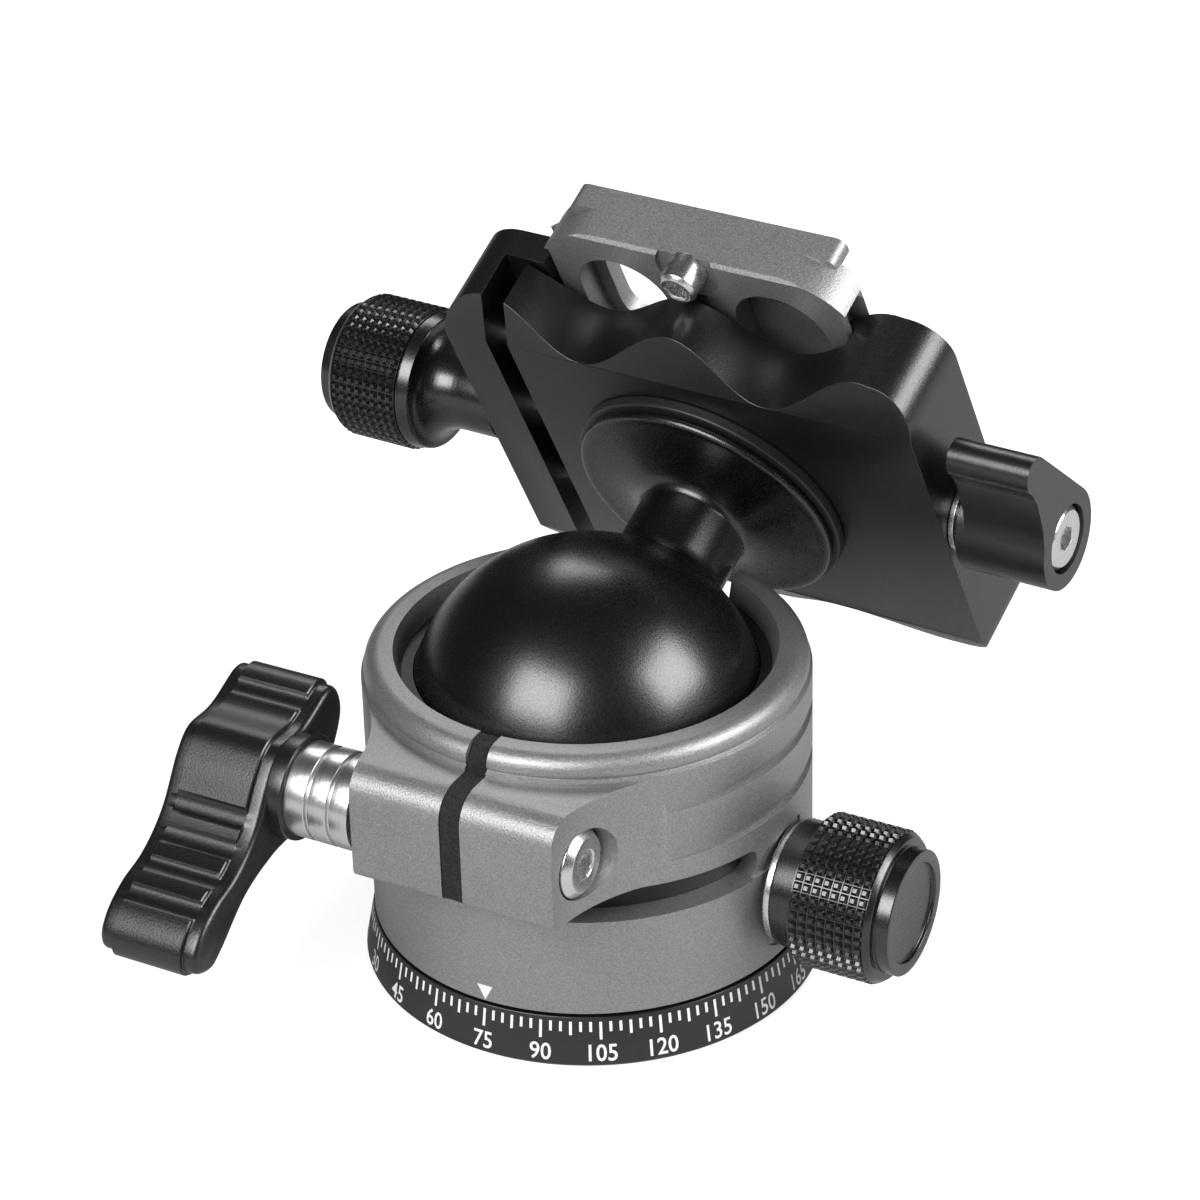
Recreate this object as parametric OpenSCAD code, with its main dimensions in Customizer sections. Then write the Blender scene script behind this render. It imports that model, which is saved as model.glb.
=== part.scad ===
// Tripod ball head with a split clamp housing, a pan base and a dovetail quick-release clamp.
// Frame: origin at the middle of the base's underside, Z up, X along the ball lock bolt.
// The front slot of the housing is at -Y, the drop notch at +Y. Millimetres.
// Everything above the ball is drawn in the head's own axes and placed by head_place:
// x along the clamp's draw rod, y along the plate's slide, z along the ball's stem.

/* [Ball and stem] */
// ball diameter
ball_d = 40; // [36:0.5:44]
// height of the ball's centre above the base's underside
ball_z = 29.62; // [26:0.01:34]
// lean of the stem from upright, in degrees
stem_tilt_deg = 62.12; // [0:0.01:88]
// turn of the leaning stem away from the notch's middle, in degrees
stem_turn_deg = -3.21; // [-5:0.01:5]
// turn of the clamp about the stem, in degrees
clamp_turn_deg = -0.59; // [-180:0.01:180]
// stem diameter
stem_d = 13.0; // [10:0.1:14]
// distance from the ball's centre to the start of the flare
flare_start = 25.9; // [24:0.1:27]
// distance from the ball's centre to the flange's underside at the rim
flare_end = 28.9; // [28:0.1:31]
// flange radius over its bead
flange_r = 15.8; // [13:0.1:18]
// distance from the ball's centre to the flange's top
flange_top = 30.3; // [29.5:0.1:32]

/* [Base] */
// how far the base stands out past the housing at its bottom edge
ring_step = 1.2; // [0.5:0.1:3]
// how far the base stands out past the housing at the washer
ring_top_step = 0.1; // [0.1:0.1:1]
// height of the base's rim
base_h = 6.0; // [5:0.1:8]
// bevel at the base's bottom edge
ring_bevel = 0.5; // [0.2:0.1:1]
// thickness of the housing's drum round the pan ring
drum_wall = 4.2; // [3:0.1:5]
// gap between the top of the pan ring and the ball
ring_ball_gap = 1.57; // [1:0.01:2]
// height of the top of the pan ring
boss_top = 17.4; // [14:0.1:17.6]
// gap between the ball and the floor under it
floor_gap = 1.82; // [1:0.01:3]
// thickness of the floor over the thread bush
floor_t = 1.0; // [0.5:0.1:2]
// radius of the tripod thread's wall
socket_r = 4.0; // [3:0.1:5]
// outer radius of the thread bush
insert_r = 7.0; // [6:0.1:9]
// radius of the bush's collar
insert_collar_r = 8.4; // [8:0.1:10]
// height of the bush's collar
insert_collar_h = 1.2; // [0.8:0.1:2]
// radius of the ring groove under the base
under_groove_r = 14.5; // [12:0.1:20]
// width of the ring groove under the base
under_groove_w = 1.2; // [0.5:0.1:3]
// depth of the ring groove under the base
under_groove_depth = 0.6; // [0.2:0.1:1]
// height of the retaining wire's middle
wire_z = 9.6; // [8.5:0.1:12]
// radius of the retaining wire's section
wire_r = 0.7; // [0.5:0.05:1]
// part of a full turn that the retaining wire covers, in degrees
wire_arc_deg = 335; // [300:1:350]
// thickness of the pan washer
washer_t = 0.3; // [0.2:0.05:0.6]
// gap between the pan ring and the pan washer
washer_in_gap = 0.4; // [0.1:0.1:1]
// how far the pan washer's edge lies inside the housing's skin
washer_out_inset = 0.6; // [0.3:0.1:2]

/* [Housing] */
// thickness of the plastic liner at the ball's middle
liner_wall = 1.95; // [1.5:0.05:3]
// thickness of the housing's ring round the liner
ring_wall = 2.85; // [2:0.05:4]
// height of the housing's underside
body_z = 6.4; // [6.3:0.05:7]
// height of the rim
rim_z = 38.5; // [36:0.1:42]
// height of the line groove under the rim
groove_z = 36.1; // [34:0.1:38]
// width of the line groove
groove_w = 0.6; // [0.3:0.1:1]
// depth of the line groove
groove_depth = 0.45; // [0.2:0.05:0.8]
// how far the rim lies inside the housing's skin
band_inset = 0.3; // [0.1:0.1:1]
// radius of the rim's rounded edge
rim_round = 1.9; // [0.5:0.1:2]
// how much wider than the ball the opening is at the rim
open_gap = 1.2; // [0.8:0.1:2]
// how much wider than the ball the opening is at the foot of its cone
lip_gap = 0.4; // [0.2:0.1:1]
// height of the step that the liner stands on
shoulder_z = 18.0; // [17.8:0.1:19]
// height of the liner's upper stop
lip_z = 35.9; // [35:0.1:37]
// width of the front slot
slot_w = 2.5; // [1.5:0.1:4]
// height of the relief slot's floor
relief_z = 18.3; // [18.1:0.1:20]
// height of the relief slot
relief_h = 4.0; // [2:0.1:5]
// where the relief slot's round end lies from the +X axis, in degrees
relief_end_deg = 18.5; // [5:0.5:40]
// height of the foot of the shallow step that runs on from the relief slot's end
relief_tail_z = 18.5; // [18.4:0.1:20]
// height of that step
relief_tail_h = 2.9; // [1:0.1:4]
// where that step ends past the +X axis, in degrees
relief_tail_deg = 8; // [0:0.5:15]
// half width of the drop notch
notch_half = 8.0; // [7.8:0.1:10]
// half width of the lug
lug_half = 12.7; // [11:0.1:15]
// how far the lug's front face lies ahead of the lock bolt's axis
lug_cover = 5.4; // [4.5:0.1:8]
// height of the lug's underside
lug_z = 22.4; // [22.35:0.05:24]
// height of the lug's top
lug_top = 35.5; // [33:0.1:36]
// radius of the lug's upper front edge
lug_round = 3.3; // [1:0.1:5]
// radius of the lug's lower front edge
lug_round_low = 0.9; // [0.3:0.1:2]
// half width of the lug at its front edges
lug_tip = 12.2; // [11:0.1:12.5]
// how far ahead of the lug's front the hollow sweep's axis lies
sweep_lead = 0.8; // [0.5:0.1:2]
// how much larger the sweep's radius is than the one that just touches the drum
sweep_more = 0.27; // [0.1:0.01:0.5]
// heights of the two shallow side grooves
side_groove_z = [24.9, 31.0]; // [20:0.1:35]
// depth of a side groove at its middle
side_groove_depth = 0.6; // [0.2:0.05:0.8]
// height of a side groove at its middle
side_groove_h = 1.8; // [0.5:0.1:3]
// how far from its middle a side groove fades out, in degrees
side_groove_half_deg = 41; // [20:1:44]
// radius of the flat for the pan lock washer
spot_r = 7.5; // [6:0.1:9]
// depth of that flat at the housing's skin
spot_depth = 0.5; // [0.2:0.1:1]

/* [Lock lever] */
// how far the lock bolt's axis lies outside the housing's skin
bolt_out = 0.4; // [0:0.1:2]
// height of the lock bolt's axis
bolt_z = 28.2; // [26:0.1:30]
// lock bolt's shank radius
bolt_r = 2.5; // [2:0.1:3]
// lock bolt's head radius
bolt_head_r = 3.9; // [3.5:0.05:4.5]
// length of the lock bolt's head
bolt_head_len = 3.4; // [2.5:0.1:5]
// how far the bolt's head reaches past the plane of the lug's collar seat, in the flared side
bolt_past = 0.65; // [0.2:0.05:1]
// bevel of the bolt's head
bolt_bevel = 0.75; // [0.2:0.05:1.2]
// depth of the lever's bore past the bolt's end
bolt_short = 1.0; // [0.5:0.1:2]
// radius over the corners of the bolt's hex socket
bolt_hex_r = 1.5; // [1.2:0.1:3]
// depth of the bolt's hex socket
bolt_hex_depth = 2.2; // [1:0.1:3]
// collar radius
collar_r = 5.3; // [4.5:0.1:6]
// collar length
collar_len = 8.0; // [6:0.1:10]
// width of a collar groove
collar_groove_w = 0.5; // [0.3:0.1:1]
// depth of a collar groove
collar_groove_depth = 0.4; // [0.2:0.05:0.8]
// places of the collar grooves along its length
collar_groove_at = [2.2, 4.9]; // [1:0.1:7]
// radius of the lever's hub boss
lever_boss_r = 5.95; // [5.4:0.05:6.5]
// length of the lever's hub boss
lever_boss_len = 1.5; // [0.5:0.1:3]
// width of the lever along the bolt
lever_w = 12.4; // [9:0.1:15]
// depth of the lever's bore
lever_bore_len = 9.5; // [6:0.1:11]
// how far the lever's side flanges lie below its middle section at its tip
flange_step = 0.7; // [0.2:0.1:1]
// width of a side flange of the lever
flange_w = 1.7; // [1:0.1:3]
// reach of the lever ahead of the bolt's axis
lever_reach = 21.7; // [18:0.1:26]
// drop of the lever's tip below the bolt's axis
lever_drop = 13.4; // [10:0.1:16]
// outline of the lever seen along the bolt: distances ahead, as shares of its reach
lever_fwd_share = [-0.341, -0.111, 0.101, 0.235, 0.401, 0.581, 0.774, 0.922, 1, 0.977,
    0.848, 0.728, 0.493, 0.244, 0.028, -0.23, -0.41, -0.488, -0.452];
// outline of the lever seen along the bolt: heights, as shares of its drop
lever_up_share = [0.612, 0.478, 0.455, 0.284, -0.09, -0.306, -0.41, -0.56, -0.746, -0.925,
    -1, -0.91, -0.634, -0.507, -0.47, -0.306, 0.03, 0.306, 0.552];

/* [Pan lock] */
// height of the pan lock's axis
pan_z = 14.55; // [13:0.05:16]
// pan lock stud radius
pan_stud_r = 2.9; // [2:0.1:3]
// length of the brass pad
pan_pad_len = 1.9; // [1.5:0.1:3]
// gap between the pad and the pan ring while the pan lock is eased
pan_pad_gap = 0.3; // [0.25:0.05:0.5]
// radius of the bright washer
pan_washer_r = 6.9; // [5:0.1:8]
// thickness of the bright washer
pan_washer_t = 0.8; // [0.5:0.1:1.5]
// gap between the housing's flat and the bright washer while the pan lock is eased
pan_washer_gap = 0.4; // [0.3:0.1:1]
// radius of the pan knob's neck
pan_neck_r = 7.2; // [6:0.1:8]
// how deep the stud sits in the pan knob
pan_stud_grip = 5.6; // [4:0.1:8]
// length of the pan knob's neck
pan_neck_len = 2.8; // [2:0.1:4]
// length of the pan knob's knurled part
pan_knurl_len = 8.8; // [7:0.1:11]

/* [Knobs] */
// radius over the knurl
knurl_r = 8.7; // [8:0.1:10]
// length of a knob's end bevel
knob_bevel_len = 0.8; // [0.4:0.1:1.5]
// drop of a knob's end bevel
knob_bevel = 0.7; // [0.3:0.1:1.5]
// radius of a knob's end disc
disc_r = 7.1; // [6:0.1:8]
// length of a knob's end disc
disc_len = 1.7; // [1:0.1:3]
// edge bevel of the end disc
disc_bevel = 0.3; // [0.1:0.1:0.6]
// radius of the recess in the end disc
recess_r = 5.7; // [5:0.1:6.5]
// depth of that recess
recess_depth = 0.9; // [0.4:0.1:1.5]
// thickness of the cap in the recess
cap_t = 0.5; // [0.3:0.1:1]
// neck radius of the clamp's knob
jaw_neck_r = 4.9; // [4:0.1:6]
// length of the straight neck of the clamp's knob
jaw_neck_len = 5.0; // [3:0.1:7]
// length of the flare of the clamp's knob
jaw_flare_len = 5.2; // [3:0.1:7]
// radius at the end of the flare of the clamp's knob
jaw_flare_r = 8.3; // [7:0.1:8.6]
// length of the clamp knob's knurled part
jaw_knurl_len = 9.9; // [7:0.1:12]

/* [Clamp] */
// distance from the ball's centre to the clamp's underside
clamp_z = 31.8; // [31:0.1:34]
// distance from the ball's centre to the clamp's top
clamp_top = 43.8; // [42:0.1:46]
// distance of the clamp's right side from the stem's axis
clamp_right = 29.9; // [28:0.1:32]
// distance of the jaw's outer side from the stem's axis
jaw_out = 29.9; // [28:0.1:32]
// jaw thickness under the plate
jaw_t = 5.6; // [4:0.1:7]
// gap between the clamp's body and the jaw when a plate is held
jaw_gap = 2.9; // [1:0.1:4]
// distance of the wave's valleys from the stem's axis
wave_low = 19.05; // [17:0.05:21]
// height of the wave
wave_h = 5.55; // [3:0.05:7]
// length of the wave
wave_len = 23.6; // [20:0.1:28]
// rise of the end bevels over the wave's height
bevel_rise = 2.4; // [1:0.1:4]
// radius of the body's corners
clamp_corner = 5.0; // [3:0.1:7]
// radius of the jaw's corners
jaw_corner = 5.9; // [3:0.1:7]
// distance from the ball's centre to the channel's floor
channel_z = 39.8; // [39:0.1:41]
// distance from the ball's centre to the draw rod's axis
rod_z = 36.6; // [36:0.1:37.5]
// draw rod radius
rod_r = 2.0; // [1.5:0.1:2.2]
// how far the draw rod's end lies under the lever screw's head
rod_short = 2.0; // [1:0.1:3]
// how far the draw rod's other end lies inside the clamp knob's knurled part
rod_knob_short = 1.0; // [0.5:0.1:3]
// guide pin radius
pin_r = 1.5; // [1:0.1:2]
// distance of a guide pin from the draw rod
pin_y = 14.0; // [10:0.1:17]
// length of a guide pin
pin_len = 20.0; // [15:0.1:24]
// how deep a guide pin sits in the jaw
pin_seat = 4.2; // [3:0.1:5]
// clamp stud radius
stud_r = 4.0; // [3:0.1:4]
// distance from the ball's centre to the foot of the clamp stud
stud_foot = 20.0; // [18:0.1:24]
// distance from the ball's centre to the top of the clamp stud
stud_top = 33.9; // [33:0.1:34]
// radius of the seat disc under the clamp
seat_r = 16.4; // [14:0.1:18]

/* [Quick lever] */
// thickness of the ring that the lever bears on
cam_ring_t = 0.7; // [0.5:0.1:1]
// radius of the ring that the lever bears on
cam_ring_r = 4.5; // [3.5:0.1:5.5]
// hub radius
hub_r = 5.9; // [5:0.1:7]
// distance of the hub's inner face from the stem's axis
hub_in = 31.6; // [31.5:0.1:33]
// distance of the hub's outer face from the stem's axis
hub_out = 42.4; // [40:0.1:45]
// distance of the finger bar's inner end from the stem's axis
finger_in = 32.7; // [32:0.1:34]
// finger bar radius
finger_r = 2.1; // [1.5:0.1:3]
// reach of the finger bar from the draw rod
finger_reach = 14.2; // [12:0.1:18]
// drop of the finger bar below the draw rod
finger_drop = 1.9; // [0:0.1:4]
// drop of the web's hollow lower edge below the draw rod
web_drop = 3.2; // [2:0.1:5]
// lever screw's head radius
screw_head_r = 3.8; // [3:0.1:4.5]
// lever screw's head length
screw_head_len = 1.8; // [1:0.1:2.5]
// lever screw's shank radius
screw_r = 1.25; // [1:0.05:1.4]
// lever screw's shank length
screw_len = 8.0; // [5:0.1:10]
// radius over the corners of the lever screw's hex socket
screw_hex_r = 1.5; // [1:0.1:2]
// depth of the lever screw's hex socket
screw_hex_depth = 1.1; // [0.5:0.1:1.5]

/* [Plate] */
// plate width over the dovetail
plate_w = 38.0; // [37.5:0.1:38.5]
// plate length
plate_len = 60.0; // [50:0.5:70]
// distance from the ball's centre to the plate's underside
plate_z = 41.1; // [40.2:0.05:41.2]
// thickness of the plate under its end lip
plate_t = 5.0; // [4.4:0.1:7]
// bevel of the plate's lower edge
plate_bevel = 0.4; // [0.2:0.1:0.6]
// height of the dovetail's foot above the underside
dove_h = 0.6; // [0.6:0.1:1.5]
// how far the dovetail's flanks lean in
dove_in = 1.6; // [1:0.1:2.2]
// gap between the clamp's top and the foot of the deck
deck_gap = 0.4; // [0.3:0.1:1]
// how far the deck stands out past the dovetail's foot
deck_step = 1.3; // [0.5:0.1:2]
// height of the deck's sloped long edges
deck_edge_h = 2.3; // [1:0.1:2.5]
// how far the deck's long edges slope in
deck_edge_in = 2.0; // [0.5:0.1:2.5]
// gap between the clamp's ends and the plate's full-height end blocks
block_gap = 1.4; // [1.3:0.1:2]
// radius of the plate's corners
plate_corner = 8.0; // [3:0.1:10]
// height of the end lip above the deck
end_lip_h = 2.1; // [1:0.1:4]
// thickness of the end lip
end_lip_t = 2.8; // [1.5:0.1:4]
// half width of the end lip
end_lip_half = 16.9; // [14:0.05:18]
// radius of the end lip's corners
end_lip_corner = 1.3; // [0.5:0.1:1.4]
// distance of a long pocket's middle from the plate's middle
pocket_x = 10.1; // [9:0.1:11]
// half width of a long pocket
pocket_r = 5.8; // [4:0.1:6]
// half width of the slot through the deck over one pocket
slot_r = 4.0; // [3:0.1:5]
// distance of a pocket's end centre from the plate's middle
pocket_y = 20.6; // [18:0.1:22]
// distance of a pocket's inner end centre from the plate's middle
pocket_y_in = 15; // [13:0.1:18]
// deck left over the blind pocket
pocket_deck = 2.0; // [1.5:0.1:3]
// distance of a stop screw from the plate's middle
stop_y = 27.9; // [27.5:0.1:28.5]
// stop screw's head radius
stop_r = 2.3; // [2:0.1:2.6]
// radius of the shallow seat round a stop screw
stop_seat_r = 3.9; // [3:0.1:5]
// depth of the shallow seat round a stop screw
stop_seat_depth = 0.5; // [0.2:0.1:0.7]
// how far a stop screw's head stands out under the plate
stop_out = 2.9; // [1.5:0.1:3]
// how far a stop screw's head is sunk in the plate
stop_in = 0.8; // [0.5:0.1:1.5]
// stop screw's shank radius
stop_shank_r = 1.25; // [1:0.05:1.5]
// depth of a stop screw's hex socket
stop_hex_depth = 1.4; // [0.8:0.1:2]
// stop screw's shank length
stop_shank_len = 3.5; // [2:0.1:4]
// radius over the corners of a stop screw's hex socket
stop_hex_r = 1.3; // [1:0.1:1.6]
// camera screw's thread radius
cam_screw_r = 3.1; // [3:0.05:3.2]
// radius of the camera screw's smooth neck
cam_neck_r = 2.5; // [2:0.05:2.6]
// how far the camera screw stands out of the deck
cam_screw_out = 5.0; // [4:0.1:6]
// camera screw's head radius
cam_head_r = 6.4; // [5:0.1:7]
// camera screw's head height
cam_head_h = 2.6; // [2:0.1:3.2]
// width of the coin slot in the camera screw's head
coin_w = 1.5; // [1:0.1:2]
// depth of the coin slot in the camera screw's head
coin_depth = 1.2; // [0.8:0.1:1.6]

/* [Fits] */
// radial clearance of turning fits
run_fit = 0.06; // [0.02:0.01:0.1]
// radial clearance of screwed and pushed fits within one group
set_fit = 0.03; // [0.02:0.01:0.06]
// gap between flat faces that slide on each other
face_gap = 0.1; // [0.05:0.01:0.2]
// gap between the lug and the collar
collar_gap = 0.15; // [0.1:0.01:0.3]
// gap between pieces that move past each other
move_gap = 0.3; // [0.25:0.05:0.5]
// gap of soft inlays to their walls
inlay_gap = 0.06; // [0.02:0.01:0.1]
// how far cutters reach past a face
over = 1; // [0.5:0.5:2]

/* [Hidden] */
$fn = 96;
ball_r = ball_d / 2;
stem_r = stem_d / 2;
notch_cut_r = notch_half + move_gap;
liner_r = ball_r + liner_wall;
body_r = liner_r + ring_wall;
band_r = body_r - band_inset;
open_r = ball_r + open_gap;
lip_r = ball_r + lip_gap;
boss_r = body_r - drum_wall;
boss_in_r = level_r(boss_top) + ring_ball_gap;
ring_r = body_r + ring_step;
ring_top_r = body_r + ring_top_step;
washer_in_r = boss_r + washer_in_gap;
washer_out_r = body_r - washer_out_inset;
floor_z = ball_z - ball_r - floor_gap;
insert_len = floor_z - floor_t;
bolt_y = body_r + bolt_out;
lug_front = bolt_y + lug_cover;
sweep_y = lug_front + sweep_lead;
touch_r = (pow(lug_tip, 2) + pow(sweep_y, 2) - pow(body_r, 2)) / (2 * (body_r - lug_tip));
sweep_r = touch_r + sweep_more;
sweep_deg = 1 + asin(sweep_y / (body_r + touch_r));
// how far the cutter of a side groove runs past the groove's end, in degrees
groove_past_deg = 1;
// how far that cutter's middle lies off the pan axis
groove_fade = side_groove_depth / (1 - cos(side_groove_half_deg));
pan_washer_x = body_r - spot_depth + pan_washer_gap;
pan_knob_x = pan_washer_x + pan_washer_t + face_gap;
reach = body_r * 2;
collar_x = -lug_half - collar_gap;
boss_x = collar_x - collar_len;
lever_x = boss_x - lever_boss_len;
knob_tip_len = knob_bevel_len + disc_len;
wave_top = wave_low + wave_h;
bevel_slope_share = bevel_rise / wave_h;
body_left = -(jaw_out - jaw_t - jaw_gap);
jaw_in = -(jaw_out - jaw_t);
half_w = plate_w / 2;
flank_foot_z = plate_z + dove_h;
flank_top_z = flank_foot_z + dove_in;
deck_z = plate_z + plate_t;
deck_half = half_w + deck_step;
deck_foot = clamp_top + deck_gap;
block_y = wave_top + block_gap;
// points of the quick lever's hollow lower edge, as shares of its reach and of its drop
web_reach_share = [0.75, 0.45];
web_drop_share = [1, 1.15];
// where that edge leaves the finger bar and the hub, as shares of their radii
bar_share = 0.9;
hub_share = 0.97;
black = [0.05, 0.05, 0.055];
dark = [0.1, 0.1, 0.1];
grey = [0.42, 0.42, 0.43];
bright = [0.78, 0.78, 0.8];
brass = [0.72, 0.56, 0.28];
white_plastic = [0.8, 0.8, 0.76];

// radius of the ball at height z
function level_r(z) = sqrt(ball_r * ball_r - (ball_z - z) * (ball_z - z));

// places the head's own axes on the ball in the photographed pose
module head_place() {
    translate([0, 0, ball_z])
        rotate([0, 0, stem_turn_deg])
            rotate([-stem_tilt_deg, 0, 0])
                rotate([0, 0, clamp_turn_deg])
                    children();
}

// turns a solid drawn up +Z so that it runs along +X from the pan axis at height z and depth y
module along_x(y, z) {
    translate([0, y, z]) rotate([0, 90, 0]) children();
}

// turns a solid drawn up +Z so that it runs along -X
module along_minus_x(y, z) {
    translate([0, y, z]) rotate([0, -90, 0]) children();
}

// one point of a smooth closed curve through the four points a, b, c, d, between b and c
function smooth(a, b, c, d, t) =
    0.5 * ((2 * b) + (c - a) * t + (2 * a - 5 * b + 4 * c - d) * t * t
    + (3 * b - a - 3 * c + d) * t * t * t);

// smooth closed outline through the points pts, n steps from point to point
function smooth_loop(pts, n) = [
    for (i = [0 : len(pts) - 1])
        for (k = [0 : n - 1])
            smooth(pts[(i + len(pts) - 1) % len(pts)], pts[i], pts[(i + 1) % len(pts)],
                pts[(i + 2) % len(pts)], k / n)
];

// points of an arc about c with radius r from angle a to angle b in n steps
function arc(c, r, a, b, n) = [
    for (i = [0 : n]) c + r * [cos(a + (b - a) * i / n), sin(a + (b - a) * i / n)]
];

// black base: scale rim, floor and the upright ring that the housing pans on
module base_plate() {
    color(black) difference() {
        rotate_extrude() polygon([
            [insert_r + set_fit, insert_collar_h + set_fit],
            [insert_collar_r + set_fit, insert_collar_h + set_fit],
            [insert_collar_r + set_fit, 0],
            [ring_r - ring_bevel, 0],
            [ring_r, ring_bevel],
            [ring_top_r, base_h],
            [boss_r, base_h],
            [boss_r, boss_top],
            [boss_in_r, boss_top],
            [boss_in_r, floor_z],
            [0, floor_z],
            [0, insert_len + set_fit],
            [insert_r + set_fit, insert_len + set_fit]
        ]);
        rotate_extrude() translate([boss_r, wire_z]) circle(r = wire_r + set_fit);
        rotate_extrude() translate([under_groove_r, -over])
            square([under_groove_w, under_groove_depth + over]);
    }
}

// steel bush with the tripod thread's bore
module thread_insert() {
    color(bright) rotate_extrude() polygon([
        [socket_r, 0],
        [insert_collar_r, 0],
        [insert_collar_r, insert_collar_h],
        [insert_r, insert_collar_h],
        [insert_r, insert_len],
        [socket_r, insert_len]
    ]);
}

// open wire ring that locks the housing to the pan ring
module retaining_wire() {
    color(bright) rotate([0, 0, -wire_arc_deg / 2])
        rotate_extrude(angle = wire_arc_deg) translate([boss_r, wire_z]) circle(r = wire_r);
}

// sliding washer under the housing
module pan_washer() {
    color(dark) translate([0, 0, base_h]) difference() {
        cylinder(r = washer_out_r, h = washer_t);
        translate([0, 0, -over]) cylinder(r = washer_in_r, h = washer_t + 2 * over);
    }
}

// side view of the lug, from the pan axis forward
function lug_side() = concat(
    [[0, lug_z]],
    arc([-(lug_front - lug_round_low), lug_z + lug_round_low], lug_round_low, 270, 180, 4),
    arc([-(lug_front - lug_round), lug_top - lug_round], lug_round, 180, 90, 8),
    [[0, lug_top]]
);

// plan of the lug before its sweeps are cut
module lug_plan() {
    end_x = lug_tip + sweep_r * (1 - cos(sweep_deg));
    end_y = sweep_y - sweep_r * sin(sweep_deg);
    polygon([
        [-end_x, -lug_front], [end_x, -lug_front],
        [end_x, -end_y], [0, 0], [-end_x, -end_y]
    ]);
}

// lug with round front edges and hollow sweeps
module lug_solid() {
    difference() {
        intersection() {
            translate([0, 0, lug_z]) linear_extrude(height = lug_top - lug_z) lug_plan();
            translate([-reach, 0, 0]) rotate([90, 0, 90])
                linear_extrude(height = 2 * reach) polygon(lug_side());
        }
        for (m = [0, 1]) mirror([m, 0, 0]) translate([lug_tip + sweep_r, -sweep_y, lug_z - over])
            cylinder(r = sweep_r, h = lug_top - lug_z + 2 * over);
    }
}

// cutter of the front slot, w wide, from the relief slot to above the rim
module front_cut(w) {
    translate([-w / 2, -reach, relief_z]) cube([w, reach, reach]);
}

// cutter of the drop notch with half width r
module notch_cut(r) {
    translate([0, 0, ball_z]) rotate([-90, 0, 0]) cylinder(r = r, h = reach);
    translate([-r, 0, ball_z]) cube([2 * r, reach, reach]);
}

// shallow groove with a soft upper and a crisp lower edge: its ring is centred off the pan axis,
// so that it fades out on both sides before the ring ends
module side_groove(z) {
    ring = body_r + groove_fade * cos(side_groove_half_deg);
    half = groove_past_deg + atan2(body_r * sin(side_groove_half_deg),
        body_r * cos(side_groove_half_deg) + groove_fade);
    for (m = [0, 1]) mirror([m, 0, 0]) translate([-groove_fade, 0, z])
        rotate([0, 0, -half]) rotate_extrude(angle = 2 * half) polygon([
            [ring, 0],
            [ring + side_groove_depth + over, 0],
            [ring + side_groove_depth + over, side_groove_h * (1 + over / side_groove_depth)]
        ]);
}

// cutter of the relief slot with its two round ends
module relief_cut() {
    translate([0, 0, relief_z + relief_h / 2]) {
        rotate([0, 0, relief_end_deg - 180]) rotate_extrude(angle = 180 - 2 * relief_end_deg)
            translate([boss_in_r, -relief_h / 2]) square([reach, relief_h]);
        for (a = [-relief_end_deg, relief_end_deg + 180]) rotate([0, 0, a])
            rotate([90, 0, 90]) linear_extrude(height = reach) polygon(concat(
                arc([0, 0], relief_h / 2, a > 0 ? 90 : -90, a > 0 ? 270 : 90, 12),
                [[a > 0 ? over : -over, relief_h / 2 * (a > 0 ? -1 : 1)],
                [a > 0 ? over : -over, relief_h / 2 * (a > 0 ? 1 : -1)]]
            ));
    }
}

// one machined piece: drum below, split clamp ring with lug above
module housing() {
    color(grey) difference() {
        union() {
            rotate_extrude() polygon(concat([
                [0, body_z],
                [body_r, body_z],
                [body_r, groove_z - groove_w / 2],
                [body_r - groove_depth, groove_z],
                [band_r, groove_z + groove_w / 2]
            ], arc([band_r - rim_round, rim_z - rim_round], rim_round, 0, 90, 8), [
                [0, rim_z]
            ]));
            lug_solid();
        }
        rotate_extrude() polygon([
            [0, body_z - over],
            [boss_r + run_fit, body_z - over],
            [boss_r + run_fit, shoulder_z],
            [liner_r + set_fit, shoulder_z],
            [liner_r + set_fit, lip_z],
            [lip_r, lip_z],
            [open_r, rim_z],
            [open_r, rim_z + over],
            [0, rim_z + over]
        ]);
        rotate_extrude() translate([boss_r, wire_z]) circle(r = wire_r + face_gap);
        front_cut(slot_w);
        difference() {
            notch_cut(notch_half);
            translate([-reach, -reach, 0]) cube([2 * reach, reach, reach]);
        }
        relief_cut();
        rotate([0, 0, -relief_end_deg - relief_tail_deg])
            rotate_extrude(angle = relief_end_deg + 2 * relief_tail_deg)
                translate([body_r - spot_depth, relief_tail_z]) square([reach, relief_tail_h]);
        along_x(-bolt_y, bolt_z) translate([0, 0, -reach / 2])
            cylinder(r = bolt_r + run_fit, h = reach);
        along_x(-bolt_y, bolt_z) translate([0, 0, lug_half + bolt_past - bolt_head_len - set_fit])
            cylinder(r = bolt_head_r + 2 * face_gap, h = reach);
        along_minus_x(-bolt_y, bolt_z) translate([0, 0, lug_half])
            cylinder(r = collar_r + move_gap, h = collar_len);
        along_x(0, pan_z) cylinder(r = pan_stud_r + run_fit, h = reach);
        along_x(0, pan_z) translate([0, 0, body_r - spot_depth])
            cylinder(r = spot_r, h = reach);
        for (z = side_groove_z) side_groove(z);
    }
}

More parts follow.
